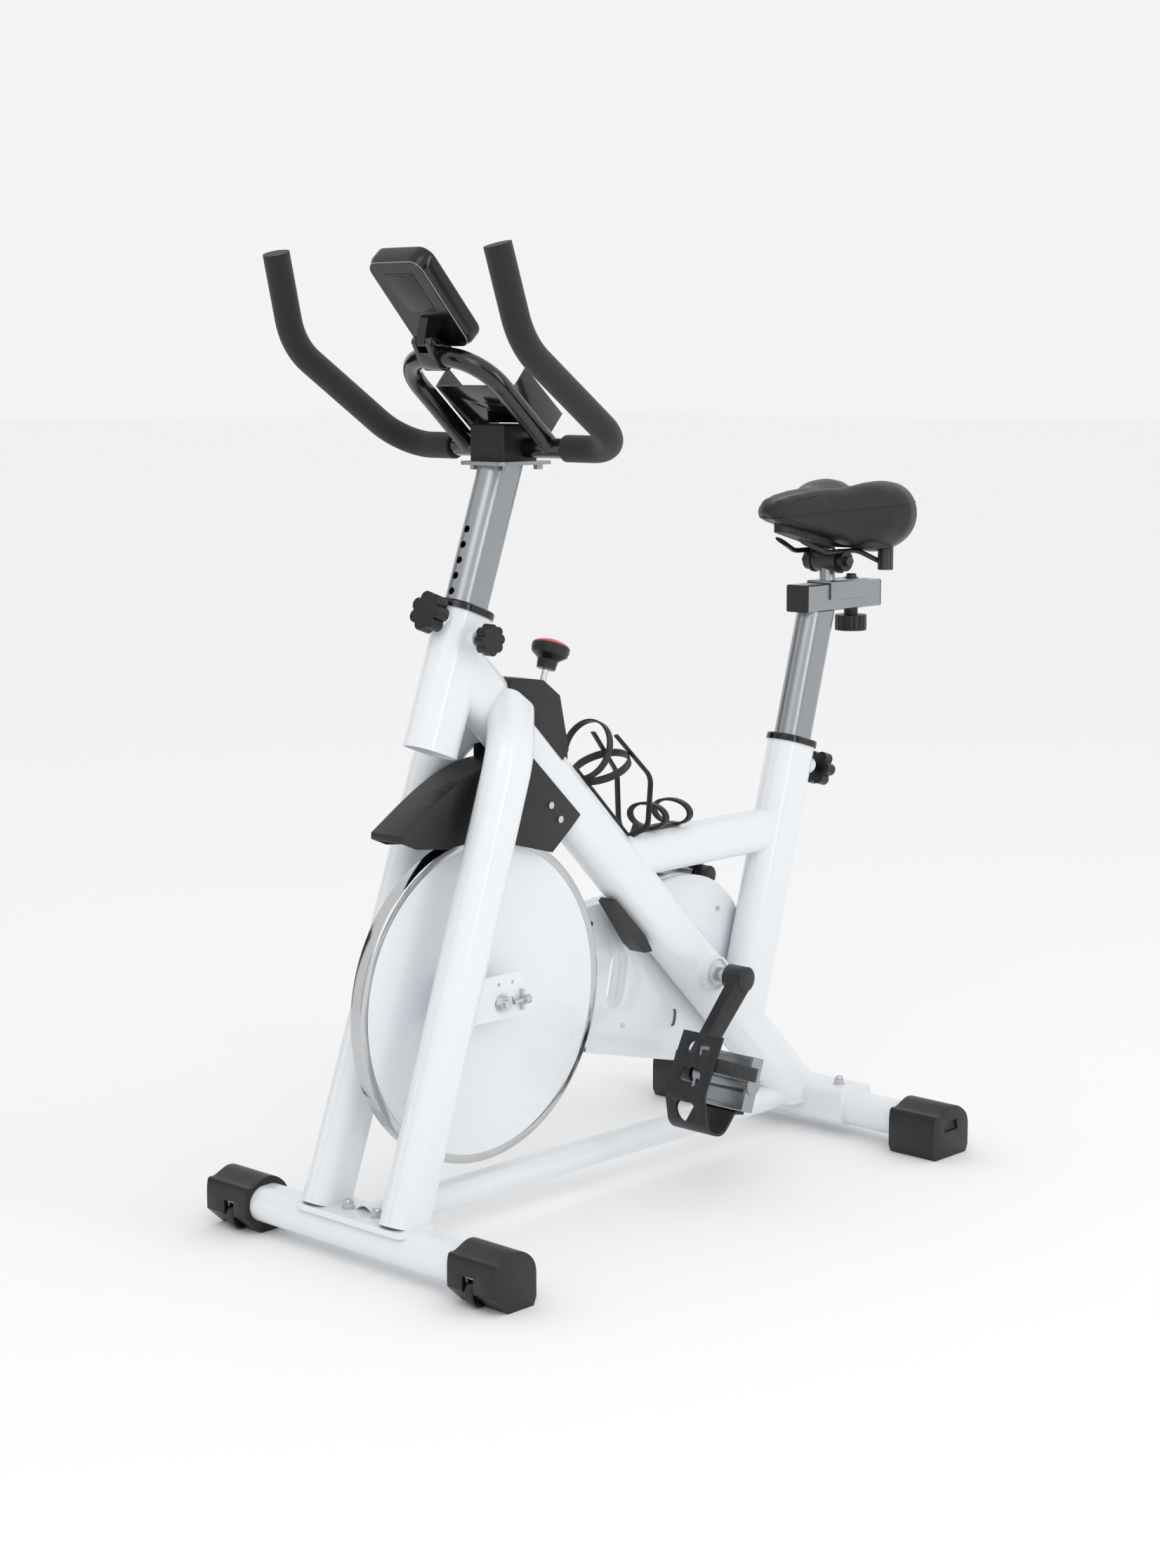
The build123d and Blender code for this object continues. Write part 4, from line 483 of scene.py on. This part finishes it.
# the base narrows and rises with the nose above it
BASE_WAIST = 0.45
BASE_RISE = 0.028
for vertex in dressed["saddle_base"].data.vertices:
    front = 1 - fade((vertex.co.y - NOSE_Y) / (TAIL_Y - NOSE_Y), 0.0, 0.62)
    vertex.co.x *= 1 - BASE_WAIST * front
    vertex.co.z += BASE_RISE * front * (1 - fade(vertex.co.z, saddle_low.z + 0.02, saddle_high.z))

# piped seam round the side
SEAM_RISE = 0.02
SEAM_HEIGHT = 0.053
SIDE_SEAM_RADIUS = 0.0011
seam_place = Vector((0, NOSE_Y, saddle_low.z + SEAM_HEIGHT))
seam_normal = Vector((0, -SEAM_RISE / (TAIL_Y - NOSE_Y), 1)).normalized()
seam_bead(saddle, "saddle_side_seam", seam_place, seam_normal, SIDE_SEAM_RADIUS, lambda place: True)

# two stitched seams over the nose
NOSE_SEAM_X = 0.021
NOSE_SEAM_SPLAY = 0.12
NOSE_SEAM_RADIUS = 0.0009
NOSE_SEAM_LENGTH = 0.075
NOSE_SEAM_FOOT = 0.035
for side in (-1, 1):
    nose_place = Vector((side * NOSE_SEAM_X, NOSE_Y, 0))
    nose_normal = Vector((1, -side * NOSE_SEAM_SPLAY, 0)).normalized()
    seam_bead(saddle, "saddle_nose_seam", nose_place, nose_normal, NOSE_SEAM_RADIUS,
              lambda place: place.y < NOSE_Y + NOSE_SEAM_LENGTH and place.z > saddle_low.z + NOSE_SEAM_FOOT)

# ---- console: painted highlight line round the edge of the back plate, battery door and its latch
case_low, case_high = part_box("console_case")
case_mid = (case_low + case_high) / 2
CONSOLE_LEAN = radians(42.2)
console_out = Vector((0, cos(CONSOLE_LEAN), sin(CONSOLE_LEAN)))
console_up = Vector((0, -sin(CONSOLE_LEAN), cos(CONSOLE_LEAN)))
back_plate = max((face for face in dressed["console_case"].data.polygons
                  if face.normal.dot(console_out) < -0.99), key=lambda face: face.area)
case_back = back_plate.center.dot(console_out)
OUTLINE_DEPTH = 0.0015
OUTLINE_RADIUS = 0.0006
# grey bead along the edge of the glossy back plate, standing in for the light it catches: a painted
# highlight
seam_bead(dressed["console_case"], "console_back_painted_highlight", console_out * (case_back + OUTLINE_DEPTH),
          console_out, OUTLINE_RADIUS, lambda place: True, "console", SLOTS["console_case"], "painted_highlight_line")


def thin_plate(name, middle, size, turn, body, slot, material=None, radius=0.002):
    """Small plate with rounded edges, turned about X."""
    bpy.ops.mesh.primitive_cube_add(size=1)
    plate = bpy.context.object
    plate.name = name
    plate.scale = size
    plate.rotation_euler = (turn, 0, 0)
    plate.location = middle
    bpy.ops.object.transform_apply(location=True, rotation=True, scale=True)
    rounded = plate.modifiers.new("rounded", "BEVEL")
    rounded.width = radius
    rounded.segments = 3
    apply_all(plate)
    smooth(plate, radians(50))
    return hold(plate, body, slot, material)


case_centre = case_mid - console_out * (case_mid.dot(console_out) - case_back)
DOOR = (0.050, 0.058, 0.0016)
LATCH = (0.012, 0.004, 0.003)
DOOR_RISE = 0.020
LATCH_RISE = 0.044
DOOR_SINK = 0.0002
SMALL_EDGE = 0.0006
thin_plate("console_battery_door", case_centre + console_up * DOOR_RISE + console_out * DOOR_SINK, DOOR,
           CONSOLE_LEAN - radians(90), "console", SLOTS["console_case"], None, SMALL_EDGE)
thin_plate("console_door_latch", case_centre + console_up * LATCH_RISE + console_out * DOOR_SINK, LATCH,
           CONSOLE_LEAN - radians(90), "console", SLOTS["console_case"], None, SMALL_EDGE)

# ---- ribs at the foot of the stem cover
cover_low, cover_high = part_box("stem_cover")
RIB_COUNT = 3
RIB_SIZE = (0.044, 0.0014, 0.0018)
RIB_FOOT = 0.006
RIB_PITCH = 0.005
RIB_SINK = 0.0005
RIB_EDGE = 0.0005
for rib in range(RIB_COUNT):
    rib_height = cover_low.z + RIB_FOOT + rib * RIB_PITCH
    thin_plate("stem_cover_rib", Vector((0, cover_low.y + RIB_SINK, rib_height)),
               RIB_SIZE, 0, "handlebar", SLOTS["stem_cover"], None, RIB_EDGE)


# ---- floor and light
BACKDROP = (0.90, 0.90, 0.90)
FLOOR_HALF = 40.0
bpy.ops.mesh.primitive_plane_add(size=2 * FLOOR_HALF, location=(0, 0, 0))
floor = bpy.context.object
floor.name = "studio_floor"
FLOOR_TONE = (0.975, 0.975, 0.975)
floor.data.materials.append(finish("studio_floor", FLOOR_TONE, 0.9, drift=0.004, grain_depth=0.01,
                                   Specular_IOR_Level=0.1))

world = bpy.data.worlds.new("studio")
world.use_nodes = True
world.node_tree.nodes["Background"].inputs["Color"].default_value = (*BACKDROP, 1)
world.node_tree.nodes["Background"].inputs["Strength"].default_value = 1.0
bpy.context.scene.world = world
bpy.context.scene.view_settings.view_transform = "Standard"


def soft_light(name, place, aim, size, power):
    """Large area light aimed at a point."""
    bpy.ops.object.light_add(type="AREA", location=place)
    light = bpy.context.object
    light.name = name
    light.data.shape = "RECTANGLE"
    light.data.size = size[0]
    light.data.size_y = size[1]
    light.data.energy = power
    light.rotation_euler = (Vector(aim) - Vector(place)).to_track_quat("-Z", "Y").to_euler()


def dark_card(name, place, turn, size):
    """Black card out of view, for the dark lines that give metal its shape."""
    bpy.ops.mesh.primitive_plane_add(size=1, location=place, rotation=(radians(90), 0, radians(turn)))
    card = bpy.context.object
    card.name = name
    card.scale = (size[0], size[1], 1)
    bpy.ops.object.transform_apply(location=True, rotation=True, scale=True)
    card.data.materials.append(CARD_BLACK)
    card.visible_camera = False
    card.visible_diffuse = False


CARD_BLACK = finish("card_black", (0.01, 0.01, 0.01), 0.9)
soft_light("key_light", (2.2, -2.6, 3.4), (0, 0, 0.6), (2.4, 2.4), 26)
soft_light("left_strip", (3.4, 0.6, 1.6), (0, 0, 0.6), (0.7, 2.6), 16)
dark_card("card_front", (-0.9, -3.6, 0.9), 12, (1.1, 2.6))
dark_card("card_left", (3.8, 1.6, 0.8), 70, (1.0, 2.4))
dark_card("card_right", (-3.0, -1.4, 0.8), 120, (1.6, 2.4))
